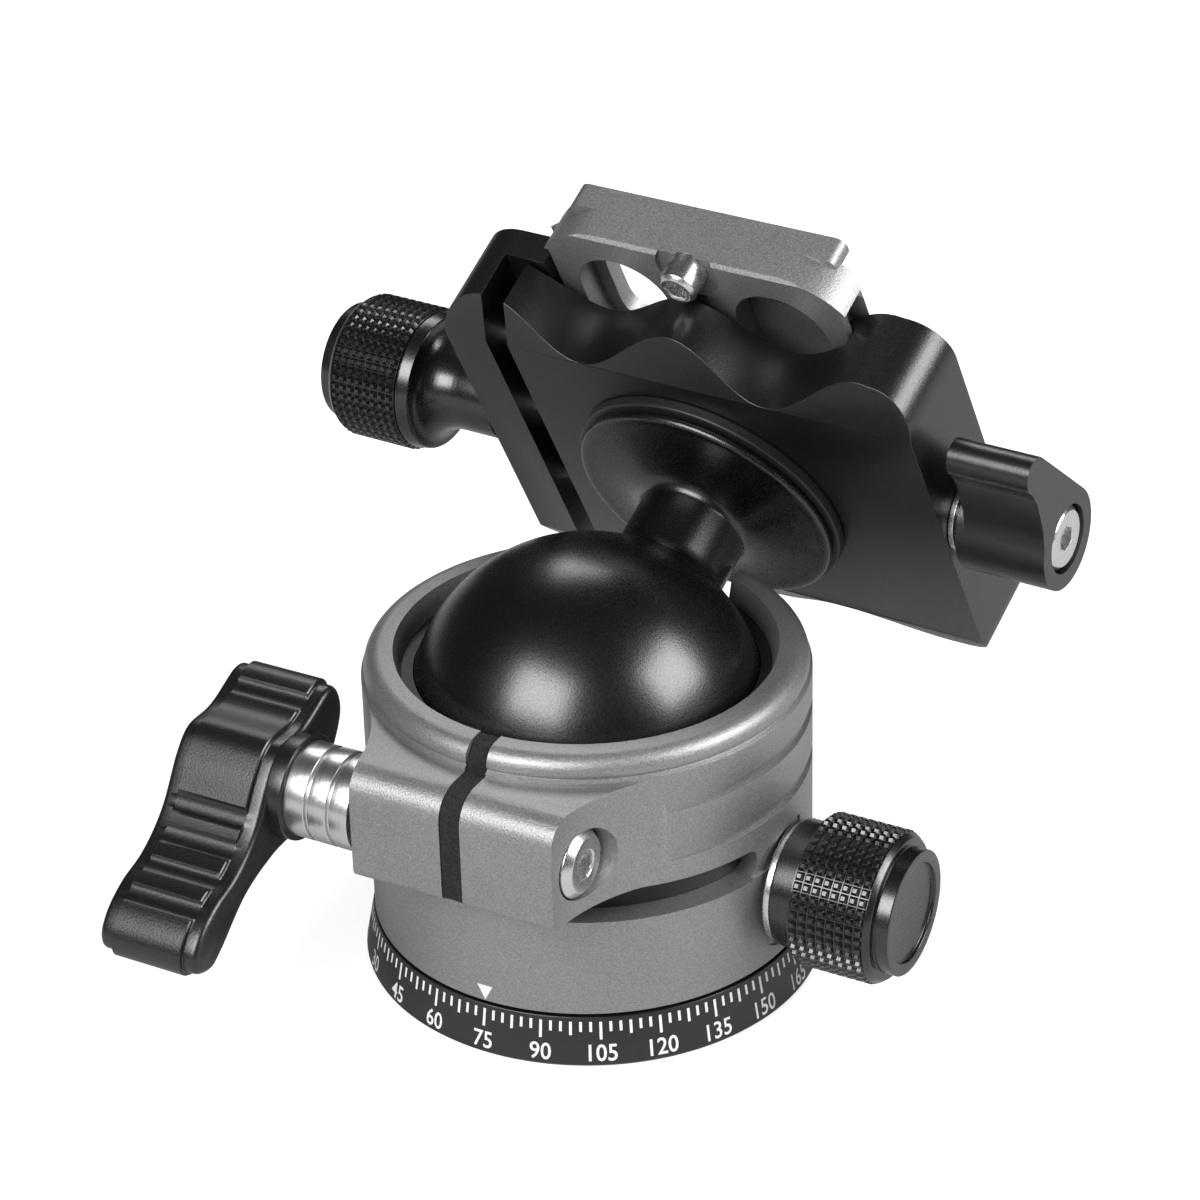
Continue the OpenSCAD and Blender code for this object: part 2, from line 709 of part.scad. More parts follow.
// foam strip that fills the front slot down to the lug's underside
module slot_strip() {
    color(dark) difference() {
        translate([-slot_w / 2 + inlay_gap, 0, 0]) rotate([90, 0, 90])
            linear_extrude(height = slot_w - 2 * inlay_gap) polygon(concat(
                [[-liner_r - 2 * inlay_gap, lug_z + inlay_gap]],
                arc([-(lug_front - lug_round_low), lug_z + lug_round_low + inlay_gap],
                    lug_round_low - 2 * inlay_gap, 270, 180, 4),
                arc([-(lug_front - lug_round), lug_top - lug_round], lug_round - 2 * inlay_gap,
                    180, 90, 8),
                [[-band_r, lug_top - 2 * inlay_gap],
                [-band_r + 2 * inlay_gap, groove_z + groove_w / 2],
                [-band_r + rim_round + inlay_gap, rim_z - 2 * inlay_gap],
                [-open_r - inlay_gap, rim_z - 2 * inlay_gap],
                [-lip_r - 2 * inlay_gap, lip_z + inlay_gap],
                [-liner_r - 2 * inlay_gap, lip_z + inlay_gap]]
            ));
        along_x(-bolt_y, bolt_z) translate([0, 0, -slot_w])
            cylinder(r = bolt_r + run_fit, h = 2 * slot_w);
    }
}

// split plastic ring around the ball
module ball_liner() {
    color(white_plastic) difference() {
        translate([0, 0, shoulder_z + face_gap])
            cylinder(r = liner_r, h = lip_z - shoulder_z - 2 * face_gap);
        translate([0, 0, ball_z]) sphere(r = ball_r + run_fit);
        translate([0, 0, shoulder_z]) cylinder(r = level_r(shoulder_z) + run_fit, h = over);
        front_cut(slot_w);
        difference() {
            notch_cut(notch_cut_r);
            translate([-reach, -reach, 0]) cube([2 * reach, reach, reach]);
        }
    }
}

// lock bolt: head in the lug's counterbore, shank to the lever
module lock_bolt() {
    head_out = lug_half + bolt_past;
    color(bright) difference() {
        along_x(-bolt_y, bolt_z) rotate_extrude() polygon([
            [0, head_out],
            [bolt_head_r - bolt_bevel, head_out],
            [bolt_head_r, head_out - bolt_bevel],
            [bolt_head_r, head_out - bolt_head_len],
            [bolt_r, head_out - bolt_head_len],
            [bolt_r, lever_x - lever_bore_len + bolt_short],
            [0, lever_x - lever_bore_len + bolt_short]
        ]);
        along_x(-bolt_y, bolt_z) translate([0, 0, head_out - bolt_hex_depth])
            cylinder(r = bolt_hex_r, h = bolt_head_len, $fn = 6);
    }
}

// bright collar with two grooves between lug and lever
module lever_collar() {
    color(bright) difference() {
        along_minus_x(-bolt_y, bolt_z) translate([0, 0, -collar_x]) difference() {
            cylinder(r = collar_r, h = collar_len);
            translate([0, 0, -over]) cylinder(r = bolt_r + run_fit, h = collar_len + 2 * over);
            for (g = collar_groove_at) translate([0, 0, g]) difference() {
                cylinder(r = collar_r + over, h = collar_groove_w);
                translate([0, 0, -over])
                    cylinder(r = collar_r - collar_groove_depth, h = collar_groove_w + 2 * over);
            }
        }
    }
}

// S-shaped lock lever: an outline along the bolt's axis, with lower side flanges and a hub boss
module lock_lever() {
    outline = smooth_loop([
        for (i = [0 : len(lever_fwd_share) - 1])
            [-lever_fwd_share[i] * lever_reach, lever_up_share[i] * lever_drop]
    ], 4);
    flange_share = 1 - flange_step / lever_reach;
    color(black) difference() {
        union() {
            translate([lever_x - lever_w + flange_w, -bolt_y, bolt_z]) rotate([90, 0, 90])
                linear_extrude(height = lever_w - 2 * flange_w) polygon(outline);
            translate([lever_x - lever_w, -bolt_y, bolt_z]) rotate([90, 0, 90])
                linear_extrude(height = lever_w) polygon(outline * flange_share);
            along_minus_x(-bolt_y, bolt_z) translate([0, 0, -boss_x])
                cylinder(r = lever_boss_r, h = lever_boss_len + over);
        }
        along_minus_x(-bolt_y, bolt_z) translate([0, 0, -boss_x - over])
            cylinder(r = bolt_r + run_fit, h = lever_boss_len + lever_bore_len + over);
    }
}

// brass pad between the pan lock's stud and the pan ring
module pan_pad() {
    color(brass) along_x(0, pan_z) translate([0, 0, boss_r + pan_pad_gap])
        cylinder(r = pan_stud_r, h = pan_pad_len);
}

// stud of the pan lock
module pan_stud() {
    start = boss_r + pan_pad_gap + pan_pad_len + face_gap;
    color(bright) along_x(0, pan_z) translate([0, 0, start])
        cylinder(r = pan_stud_r, h = pan_knob_x + pan_stud_grip - start);
}

// bright washer between the housing's flat and the knob
module pan_knob_washer() {
    color(bright) along_x(0, pan_z) translate([0, 0, pan_washer_x]) difference() {
        cylinder(r = pan_washer_r, h = pan_washer_t);
        translate([0, 0, -over]) cylinder(r = pan_stud_r + set_fit, h = pan_washer_t + 2 * over);
    }
}

// knob drawn up +Z from 0: profile points of what comes before the knurl, then knurl, bevel and disc
module knob_solid(foot, start, knurl_len) {
    end = start + knurl_len;
    tip = end + knob_tip_len;
    rotate_extrude() polygon(concat(foot, [
        [knurl_r, start],
        [knurl_r, end],
        [knurl_r - knob_bevel, end + knob_bevel_len],
        [disc_r, end + knob_bevel_len],
        [disc_r, tip - disc_bevel],
        [disc_r - disc_bevel, tip],
        [recess_r, tip],
        [recess_r, tip - recess_depth],
        [0, tip - recess_depth]
    ]));
}

// knurled knob of the pan lock
module pan_knob() {
    color(black) along_x(0, pan_z) translate([0, 0, pan_knob_x]) difference() {
        knob_solid([[0, 0], [pan_neck_r, 0], [pan_neck_r, pan_neck_len]], pan_neck_len, pan_knurl_len);
        translate([0, 0, -over]) cylinder(r = pan_stud_r + set_fit, h = pan_stud_grip + over + face_gap);
    }
}

module pan_knob_cap() {
    tip = pan_neck_len + pan_knurl_len + knob_tip_len;
    color(dark) along_x(0, pan_z) translate([0, 0, pan_knob_x + tip - recess_depth])
        cylinder(r = recess_r - set_fit, h = cap_t);
}

// ball, stem and flared flange turned in one piece
module ball() {
    bead = (flange_top - flare_end) / 2;
    rim = flange_r - bead;
    color(black) head_place() difference() {
        union() {
            sphere(r = ball_r);
            rotate_extrude() polygon(concat(
                [[0, 0], [stem_r, 0]],
                [for (i = [0 : 12]) [stem_r + (rim - stem_r) * (1 - cos(90 * i / 12)),
                    flare_start + (flare_end - flare_start) * sin(90 * i / 12)]],
                arc([rim, flare_end + bead], bead, -60, 90, 8),
                [[0, flange_top]]
            ));
        }
        translate([0, 0, stud_foot - set_fit]) cylinder(r = stud_r + set_fit, h = reach);
    }
}

// stud between stem and clamp
module clamp_stud() {
    color(bright) head_place() translate([0, 0, stud_foot]) cylinder(r = stud_r, h = stud_top - stud_foot);
}

// dark disc between flange and clamp
module clamp_seat() {
    color(dark) head_place() translate([0, 0, flange_top + face_gap]) difference() {
        cylinder(r = seat_r, h = clamp_z - flange_top - face_gap - set_fit);
        translate([0, 0, -over]) cylinder(r = stud_r + run_fit, h = reach);
    }
}

// distance of the clamp's wavy end from the stem's axis at x
function wave(x) = wave_low + wave_h * (1 + cos(360 * x / wave_len)) / 2;

// cutter of the bevels under both ends
module end_bevels() {
    far = wave_top + wave_h;
    for (s = [0, 180]) rotate([0, 0, s])
        translate([-reach, 0, 0]) rotate([90, 0, 90]) linear_extrude(height = 2 * reach) polygon([
            [-wave_low, clamp_z],
            [-far, clamp_z + (far - wave_low) * bevel_slope_share],
            [-far, clamp_z - over],
            [-wave_low, clamp_z - over]
        ]);
}

module clamp_plan() {
    right = clamp_right - clamp_corner;
    steps = 40;
    near = [for (i = [0 : steps]) let (x = body_left + (right - body_left) * i / steps) [x, -wave(x)]];
    polygon(concat(
        near,
        arc([right, -wave(right) + clamp_corner], clamp_corner, -84, 0, 10),
        arc([right, wave(right) - clamp_corner], clamp_corner, 0, 84, 10),
        [for (i = [0 : steps]) [near[steps - i][0], -near[steps - i][1]]]
    ));
}

// clamp body: floor, right wall with its undercut, bores for rod and pins
module clamp_body() {
    wall = half_w + face_gap;
    color(black) head_place() difference() {
        translate([0, 0, clamp_z]) linear_extrude(height = clamp_top - clamp_z) clamp_plan();
        end_bevels();
        translate([0, reach, 0]) rotate([90, 0, 0]) linear_extrude(height = 2 * reach) polygon([
            [-reach, channel_z],
            [wall, channel_z],
            [wall, flank_foot_z + face_gap],
            [wall - dove_in, flank_top_z + face_gap],
            [wall - dove_in, clamp_top + over],
            [-reach, clamp_top + over]
        ]);
        along_x(0, rod_z) translate([0, 0, -reach]) cylinder(r = rod_r + run_fit, h = 2 * reach);
        for (y = [-pin_y, pin_y]) along_x(y, rod_z) translate([0, 0, body_left - over])
            cylinder(r = pin_r + run_fit, h = pin_len - pin_seat - jaw_gap + 2 * over);
        translate([0, 0, clamp_z - over])
            cylinder(r = stud_r + run_fit, h = stud_top - clamp_z + over + face_gap);
    }
}

// movable jaw
module jaw() {
    wall = -half_w - face_gap;
    inner = wall + dove_in;
    color(black) head_place() difference() {
        intersection() {
            translate([0, reach, 0]) rotate([90, 0, 0]) linear_extrude(height = 2 * reach) polygon([
                [-jaw_out, clamp_z],
                [jaw_in, clamp_z],
                [jaw_in, channel_z + move_gap],
                [wall, channel_z + move_gap],
                [wall, flank_foot_z + face_gap],
                [inner, flank_top_z + face_gap],
                [inner, clamp_top],
                [-jaw_out, clamp_top]
            ]);
            translate([0, 0, clamp_z - over]) linear_extrude(height = 2 * reach) polygon(concat(
                arc([-jaw_out + jaw_corner, -wave_top + jaw_corner], jaw_corner, 180, 270, 12),
                [[0, -wave_top], [0, wave_top]],
                arc([-jaw_out + jaw_corner, wave_top - jaw_corner], jaw_corner, 90, 180, 12)
            ));
        }
        end_bevels();
        along_x(0, rod_z) translate([0, 0, -reach]) cylinder(r = rod_r + run_fit, h = 2 * reach);
        for (y = [-pin_y, pin_y]) along_x(y, rod_z)
            translate([0, 0, jaw_in - pin_seat - set_fit]) cylinder(r = pin_r + set_fit, h = reach);
    }
}

module guide_pins() {
    color(bright) head_place() for (y = [-pin_y, pin_y]) along_x(y, rod_z)
        translate([0, 0, jaw_in - pin_seat]) cylinder(r = pin_r, h = pin_len);
}

// rod through clamp and jaw
module draw_rod() {
    end = hub_out - screw_head_len - rod_short;
    start = -jaw_out - jaw_neck_len - jaw_flare_len - jaw_knurl_len + rod_knob_short;
    color(bright) head_place() along_x(0, rod_z) difference() {
        translate([0, 0, start]) cylinder(r = rod_r, h = end - start);
        translate([0, 0, end - screw_len]) cylinder(r = screw_r + set_fit, h = screw_len + over);
    }
}

module cam_ring() {
    color(bright) head_place() along_x(0, rod_z) translate([0, 0, clamp_right + set_fit]) difference() {
        cylinder(r = cam_ring_r, h = cam_ring_t);
        translate([0, 0, -over]) cylinder(r = rod_r + run_fit, h = cam_ring_t + 2 * over);
    }
}

// knurled knob that sets the jaw
module jaw_knob() {
    start = jaw_neck_len + jaw_flare_len;
    color(black) head_place() along_minus_x(0, rod_z) translate([0, 0, jaw_out + face_gap]) difference() {
        knob_solid(concat(
            [[0, 0], [jaw_neck_r, 0]],
            [for (i = [0 : 10]) [jaw_neck_r + (jaw_flare_r - jaw_neck_r) * (1 - cos(90 * i / 10)),
                jaw_neck_len + jaw_flare_len * sin(90 * i / 10)]]
        ), start, jaw_knurl_len);
        translate([0, 0, -over]) cylinder(r = rod_r + run_fit, h = start + jaw_knurl_len + over);
    }
}

module jaw_knob_cap() {
    tip = jaw_neck_len + jaw_flare_len + jaw_knurl_len + knob_tip_len;
    color(dark) head_place() along_minus_x(0, rod_z)
        translate([0, 0, jaw_out + face_gap + tip - recess_depth])
            cylinder(r = recess_r - set_fit, h = cap_t);
}

// outline of the quick lever seen along the rod: hub, finger bar and the web between them
module quick_plan() {
    circle(r = hub_r);
    translate([-finger_reach, -finger_drop]) circle(r = finger_r);
    lean = atan(finger_drop / finger_reach);
    tang = asin((hub_r - finger_r) / norm([finger_reach, finger_drop]));
    up = [-sin(lean + tang), cos(lean + tang)];
    polygon([
        [-finger_reach, -finger_drop] + finger_r * up,
        [-finger_reach, -finger_drop - finger_r * bar_share],
        for (i = [0, 1]) [-finger_reach * web_reach_share[i], -web_drop * web_drop_share[i]],
        [0, -hub_r * hub_share],
        [0, 0],
        hub_r * up
    ]);
}

// quick lever on the end of the rod
module quick_lever() {
    color(black) head_place() difference() {
        union() {
            translate([finger_in, 0, rod_z]) rotate([90, 0, 90])
                linear_extrude(height = hub_out - finger_in) quick_plan();
            along_x(0, rod_z) translate([0, 0, hub_in]) cylinder(r = hub_r, h = hub_out - hub_in);
        }
        along_x(0, rod_z) translate([0, 0, hub_in - over]) cylinder(r = rod_r + run_fit, h = reach);
        along_x(0, rod_z) translate([0, 0, hub_out - screw_head_len - face_gap])
            cylinder(r = screw_head_r + 2 * face_gap, h = reach);
    }
}

module lever_screw() {
    top = hub_out - face_gap;
    color(bright) head_place() along_x(0, rod_z) difference() {
        union() {
            translate([0, 0, top - screw_head_len + set_fit])
                cylinder(r = screw_head_r, h = screw_head_len - set_fit);
            translate([0, 0, hub_out - screw_head_len - rod_short - screw_len + face_gap])
                cylinder(r = screw_r, h = screw_len + rod_short);
        }
        translate([0, 0, top - screw_hex_depth]) cylinder(r = screw_hex_r, h = screw_head_len, $fn = 6);
    }
}

// rectangle with round corners, half sizes x and y, corner radius r
module round_plan(x, y, r) {
    polygon(concat(
        arc([x - r, y - r], r, 0, 90, 10),
        arc([r - x, y - r], r, 90, 180, 10),
        arc([r - x, r - y], r, 180, 270, 10),
        arc([x - r, r - y], r, 270, 360, 10)
    ));
}

// pocket outline, r wide to each side
module pocket_plan(r) {
    for (y = [pocket_y_in, pocket_y]) translate([0, y]) circle(r = r);
    translate([-r, pocket_y_in]) square([2 * r, pocket_y - pocket_y_in]);
}

// runs an outline, given by its right half from the foot up, from y = from to y = to
module along_plate(from, to, right) {
    translate([0, to, 0]) rotate([90, 0, 0]) linear_extrude(height = to - from) polygon(concat(
        right, [for (i = [len(right) - 1 : -1 : 0]) [-right[i][0], right[i][1]]]
    ));
}

// quick-release plate: dovetail and deck between two full-height end blocks, end lip,
// stop screw seats, one slot through the deck and four pockets
module qr_plate() {
    end = plate_len / 2;
    edge_z = deck_z - deck_edge_h;
    foot_x = deck_half - deck_edge_in * (deck_foot - edge_z) / deck_edge_h;
    color(grey) head_place() difference() {
        union() {
            along_plate(-block_y, block_y, [
                [half_w - plate_bevel, plate_z],
                [half_w, plate_z + plate_bevel],
                [half_w, flank_foot_z],
                [half_w - dove_in, flank_top_z],
                [half_w - dove_in, deck_foot],
                [foot_x, deck_foot],
                [deck_half - deck_edge_in, deck_z]
            ]);
            intersection() {
                union() for (s = [0, 180]) rotate([0, 0, s]) along_plate(-end, -block_y, [
                    [deck_half - plate_bevel, plate_z],
                    [deck_half, plate_z + plate_bevel],
                    [deck_half, edge_z],
                    [deck_half - deck_edge_in, deck_z]
                ]);
                translate([0, 0, plate_z]) linear_extrude(height = deck_z - plate_z)
                    round_plan(deck_half, end, plate_corner);
            }
            translate([0, end_lip_t / 2 - end, deck_z - over])
                linear_extrude(height = end_lip_h + over)
                    round_plan(end_lip_half, end_lip_t / 2, end_lip_corner);
        }
        for (s = [0, 180]) rotate([0, 0, s]) translate([-reach, -end, plate_z])
            rotate([90, 0, 90]) linear_extrude(height = 2 * reach)
                polygon([[-over, -over], [plate_bevel + over, -over], [-over, plate_bevel + over]]);
        translate([-pocket_x, 0, plate_z - over]) linear_extrude(height = reach)
            rotate(180) pocket_plan(slot_r);
        for (x = [-pocket_x, pocket_x], turn = [0, 180]) translate([x, 0, plate_z - over])
            linear_extrude(height = deck_z - plate_z - pocket_deck + over)
                rotate(turn) pocket_plan(pocket_r);
        for (y = [-stop_y, stop_y]) translate([0, y, plate_z - over]) {
            cylinder(r = stop_seat_r, h = stop_seat_depth + over);
            cylinder(r = stop_r + set_fit, h = stop_in + over);
            cylinder(r = stop_shank_r + set_fit, h = stop_in + stop_shank_len + over + set_fit);
        }
        translate([0, 0, plate_z - over])
            cylinder(r = cam_head_r + move_gap, h = cam_head_h + over + move_gap);
        translate([0, 0, plate_z - over]) cylinder(r = cam_screw_r + run_fit, h = reach);
    }
}

module stop_screws() {
    color(bright) head_place() for (y = [-stop_y, stop_y]) translate([0, y, plate_z]) difference() {
        union() {
            translate([0, 0, -stop_out]) cylinder(r = stop_r, h = stop_out + stop_in - set_fit);
            cylinder(r = stop_shank_r, h = stop_in + stop_shank_len);
        }
        translate([0, 0, -stop_out - over]) cylinder(r = stop_hex_r, h = stop_hex_depth + over, $fn = 6);
    }
}

module camera_screw() {
    foot = plate_z + move_gap;
    color(bright) head_place() difference() {
        union() {
            translate([0, 0, foot]) cylinder(r = cam_head_r, h = cam_head_h - set_fit);
            translate([0, 0, foot]) cylinder(r = cam_neck_r, h = deck_z + cam_screw_out - foot);
            translate([0, 0, deck_z]) cylinder(r = cam_screw_r, h = cam_screw_out);
        }
        translate([-coin_w / 2, -cam_head_r - over, foot - over])
            cube([coin_w, 2 * (cam_head_r + over), coin_depth + over]);
    }
}

base_plate();
thread_insert();
retaining_wire();
pan_washer();
housing();
slot_strip();
ball_liner();
lock_bolt();
lever_collar();
lock_lever();
pan_pad();
pan_stud();
pan_knob_washer();
pan_knob();
pan_knob_cap();
ball();
clamp_stud();
clamp_seat();
clamp_body();
jaw();
guide_pins();
draw_rod();
cam_ring();
jaw_knob();
jaw_knob_cap();
quick_lever();
lever_screw();
qr_plate();
stop_screws();
camera_screw();
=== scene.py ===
import math

import bmesh
import bpy
import numpy as np
from mathutils import Matrix, Vector


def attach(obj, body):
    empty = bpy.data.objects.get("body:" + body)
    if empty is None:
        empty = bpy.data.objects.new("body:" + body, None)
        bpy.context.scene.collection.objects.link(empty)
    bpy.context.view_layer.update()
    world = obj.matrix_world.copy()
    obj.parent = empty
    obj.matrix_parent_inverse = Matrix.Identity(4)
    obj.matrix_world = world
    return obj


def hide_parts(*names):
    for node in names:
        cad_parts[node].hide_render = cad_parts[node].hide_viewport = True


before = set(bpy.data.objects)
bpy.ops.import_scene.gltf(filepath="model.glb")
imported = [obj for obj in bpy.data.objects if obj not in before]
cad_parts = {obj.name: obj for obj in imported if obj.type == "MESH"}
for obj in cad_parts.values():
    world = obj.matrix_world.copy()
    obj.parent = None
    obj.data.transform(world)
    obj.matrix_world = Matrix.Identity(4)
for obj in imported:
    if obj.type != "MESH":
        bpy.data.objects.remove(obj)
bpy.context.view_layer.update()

# Camera: a 120 mm lens on a 36 mm frame, 0.46 m from the head, 29 degrees round to its right and
# 30 degrees above it, held with a slight roll.
azimuth, elevation, roll = math.radians(29.01), math.radians(29.80), math.radians(1.62)
camera_far, camera_aside, camera_up = 0.45712, 0.0016556, 0.037944


def toward(azim, elev):
    """Unit vector to a place that is `azim` round from the head's front and `elev` above it."""
    return Vector((math.sin(azim) * math.cos(elev), -math.cos(azim) * math.cos(elev), math.sin(elev)))


def linked(name, data):
    """A new object with the given data, at the origin of the scene."""
    thing = bpy.data.objects.new(name, data)
    bpy.context.scene.collection.objects.link(thing)
    return thing


lens_data = bpy.data.cameras.new("photo_camera")
lens_data.lens, lens_data.sensor_width = 120.0, 36.0
lens_data.clip_start, lens_data.clip_end = 0.02, 20.0
photo_camera = linked("photo_camera", lens_data)
back = toward(azimuth, elevation)
level = Vector((math.cos(azimuth), math.sin(azimuth), 0))
rise = Vector((-math.sin(elevation) * math.sin(azimuth), math.sin(elevation) * math.cos(azimuth),
               math.cos(elevation)))
right = math.cos(roll) * level - math.sin(roll) * rise
above = math.sin(roll) * level + math.cos(roll) * rise
stand = back * camera_far + level * camera_aside + rise * camera_up
photo_camera.matrix_world = Matrix((
    (right.x, above.x, back.x, stand.x), (right.y, above.y, back.y, stand.y),
    (right.z, above.z, back.z, stand.z), (0, 0, 0, 1)))
bpy.context.scene.camera = photo_camera

# Studio: two compact soft boxes to the left and right of the camera, a weak one behind, and a room
# that is white to the camera and nearly dark to the head. The floor is pale paper, which takes the
# lamps' light and shadows and glows to the camera alone.
lamp_aim = Vector((0, 0, 0.035))
seen_strength, dim_fill, mirrored_fill = 1.0, 0.02, 0.03
paper_half, paper_grey, paper_glow_strength = 4, 0.6, 0.75


def soft_box(name, azim, elev, distance, width, height, power):
    """An area lamp at a direction in degrees and a distance from the head, facing the ball."""
    lamp = bpy.data.lights.new(name, "AREA")
    lamp.shape, lamp.size, lamp.size_y, lamp.energy = "RECTANGLE", width, height, power
    holder = linked(name, lamp)
    way = toward(math.radians(azim), math.radians(elev))
    holder.location = lamp_aim + way * distance
    holder.rotation_euler = way.to_track_quat("Z", "Y").to_euler()


soft_box("soft_box_front", azim=-9, elev=36, distance=1.0, width=0.66, height=0.50, power=11.0)
soft_box("soft_box_right", azim=101, elev=33, distance=1.0, width=0.62, height=0.50, power=10.0)
soft_box("soft_box_back", azim=-150, elev=45, distance=1.3, width=0.5, height=0.4, power=3.0)

bpy.context.scene.view_settings.view_transform = "Standard"
room = bpy.data.worlds.new("white_room")
bpy.context.scene.world = room
room.use_nodes = True
room_nodes, room_links = room.node_tree.nodes, room.node_tree.links
room_nodes.clear()
rays = room_nodes.new("ShaderNodeLightPath")
seen = room_nodes.new("ShaderNodeBackground")
seen.inputs["Color"].default_value = (1, 1, 1, 1)
seen.inputs["Strength"].default_value = seen_strength
fill = room_nodes.new("ShaderNodeBackground")
fill.inputs["Color"].default_value = (1, 1, 1, 1)
fill_strength = room_nodes.new("ShaderNodeMath")
fill_strength.operation = "MULTIPLY_ADD"
fill_strength.inputs[1].default_value = mirrored_fill
fill_strength.inputs[2].default_value = dim_fill
room_links.new(rays.outputs["Is Glossy Ray"], fill_strength.inputs[0])
room_links.new(fill_strength.outputs[0], fill.inputs["Strength"])
seen_rays = room_nodes.new("ShaderNodeMath")
seen_rays.operation = "MAXIMUM"
room_links.new(rays.outputs["Is Camera Ray"], seen_rays.inputs[0])
room_links.new(rays.outputs["Is Transmission Ray"], seen_rays.inputs[1])
pick = room_nodes.new("ShaderNodeMixShader")
room_out = room_nodes.new("ShaderNodeOutputWorld")
room_links.new(seen_rays.outputs[0], pick.inputs["Fac"])
room_links.new(fill.outputs["Background"], pick.inputs[1])
room_links.new(seen.outputs["Background"], pick.inputs[2])
room_links.new(pick.outputs["Shader"], room_out.inputs["Surface"])

floor_mesh = bpy.data.meshes.new("studio_floor")
floor_corners = [(-paper_half, -paper_half, 0), (paper_half, -paper_half, 0),
                 (paper_half, paper_half, 0), (-paper_half, paper_half, 0)]
floor_mesh.from_pydata(floor_corners, [], [(0, 1, 2, 3)])
studio_floor = linked("studio_floor", floor_mesh)
paper = bpy.data.materials.new("white_paper")
paper.use_nodes = True
paper_nodes, paper_links = paper.node_tree.nodes, paper.node_tree.links
paper_nodes.clear()
paper_rays = paper_nodes.new("ShaderNodeLightPath")
paper_shade = paper_nodes.new("ShaderNodeBsdfDiffuse")
paper_shade.inputs["Color"].default_value = (paper_grey, paper_grey, paper_grey, 1)
paper_glow = paper_nodes.new("ShaderNodeEmission")
paper_glow.inputs["Color"].default_value = (1, 1, 1, 1)
paper_glow.inputs["Strength"].default_value = paper_glow_strength
paper_sum = paper_nodes.new("ShaderNodeAddShader")
paper_pick = paper_nodes.new("ShaderNodeMixShader")
paper_out = paper_nodes.new("ShaderNodeOutputMaterial")
paper_links.new(paper_shade.outputs["BSDF"], paper_sum.inputs[0])
paper_links.new(paper_glow.outputs["Emission"], paper_sum.inputs[1])
paper_links.new(paper_rays.outputs["Is Camera Ray"], paper_pick.inputs["Fac"])
paper_links.new(paper_shade.outputs["BSDF"], paper_pick.inputs[1])
paper_links.new(paper_sum.outputs["Shader"], paper_pick.inputs[2])
paper_links.new(paper_pick.outputs["Shader"], paper_out.inputs["Surface"])
floor_mesh.materials.append(paper)

# Base: the black turned disc with its conical scale rim, bevelled at the foot, and the upright ring
# inside on which the housing pans. Turned from aluminium, blasted and anodised black. The outline
# runs from the bush's seat out over the foot, up the rim and the ring, and down the bush's bore.
mm = 0.001
rim_low, rim_high, rim_foot, rim_top = 26.0, 24.9, 0.5, 6.0
bush_seat, bush_seat_r, bush_hole_r, bush_hole_top = 1.23, 8.43, 7.03, 6.83
foot_groove_in, foot_groove_out, foot_groove_deep = 14.5, 15.7, 0.6
pan_ring_r, pan_ring_bore, pan_ring_top, pan_ring_floor = 20.6, 17.4, 17.4, 7.8
wire_z, wire_mouth_half, wire_flank_half, wire_flank_deep, wire_deep = 9.6, 0.7, 0.5, 0.45, 0.72


class Tone:
    """A shader socket that takes part in sums and products; node() adds any other node."""

    def __init__(self, tree, socket):
        self.tree, self.socket = tree, socket

    def node(self, kind, settings, inputs, output=0):
        made = self.tree.nodes.new(kind)
        for key, value in settings.items():
            setattr(made, key, value)
        for key, value in inputs.items():
            if isinstance(value, Tone):
                self.tree.links.new(value.socket, made.inputs[key])
            else:
                made.inputs[key].default_value = value
        return Tone(self.tree, made.outputs[output])

    def reckon(self, operation, first, second):
        return self.node("ShaderNodeMath", {"operation": operation}, {0: first, 1: second})

    def __add__(self, other):
        return self.reckon("ADD", self, other)

    __radd__ = __add__

    def __sub__(self, other):
        return self.reckon("SUBTRACT", self, other)

    def __rsub__(self, other):
        return self.reckon("SUBTRACT", other, self)

    def __mul__(self, other):
        return self.reckon("MULTIPLY", self, other)

    __rmul__ = __mul__


def new_finish(name):
    """An empty material: its Object coordinates as a Tone, and a function that closes the surface."""
    finish = bpy.data.materials.new(name)
    finish.use_nodes = True
    tree = finish.node_tree
    tree.nodes.clear()
    place = tree.nodes.new("ShaderNodeTexCoord")
    coords = Tone(tree, place.outputs["Object"])

    def close(fixed, varying):
        """Principled surface: fixed values sit on its own sockets, varying ones are links."""
        shader = tree.nodes.new("ShaderNodeBsdfPrincipled")
        for key, value in fixed.items():
            shader.inputs[key].default_value = value
        for key, tone in varying.items():
            tree.links.new(tone.socket, shader.inputs[key])
        out = tree.nodes.new("ShaderNodeOutputMaterial")
        tree.links.new(shader.outputs["BSDF"], out.inputs["Surface"])
        return finish

    return coords, close


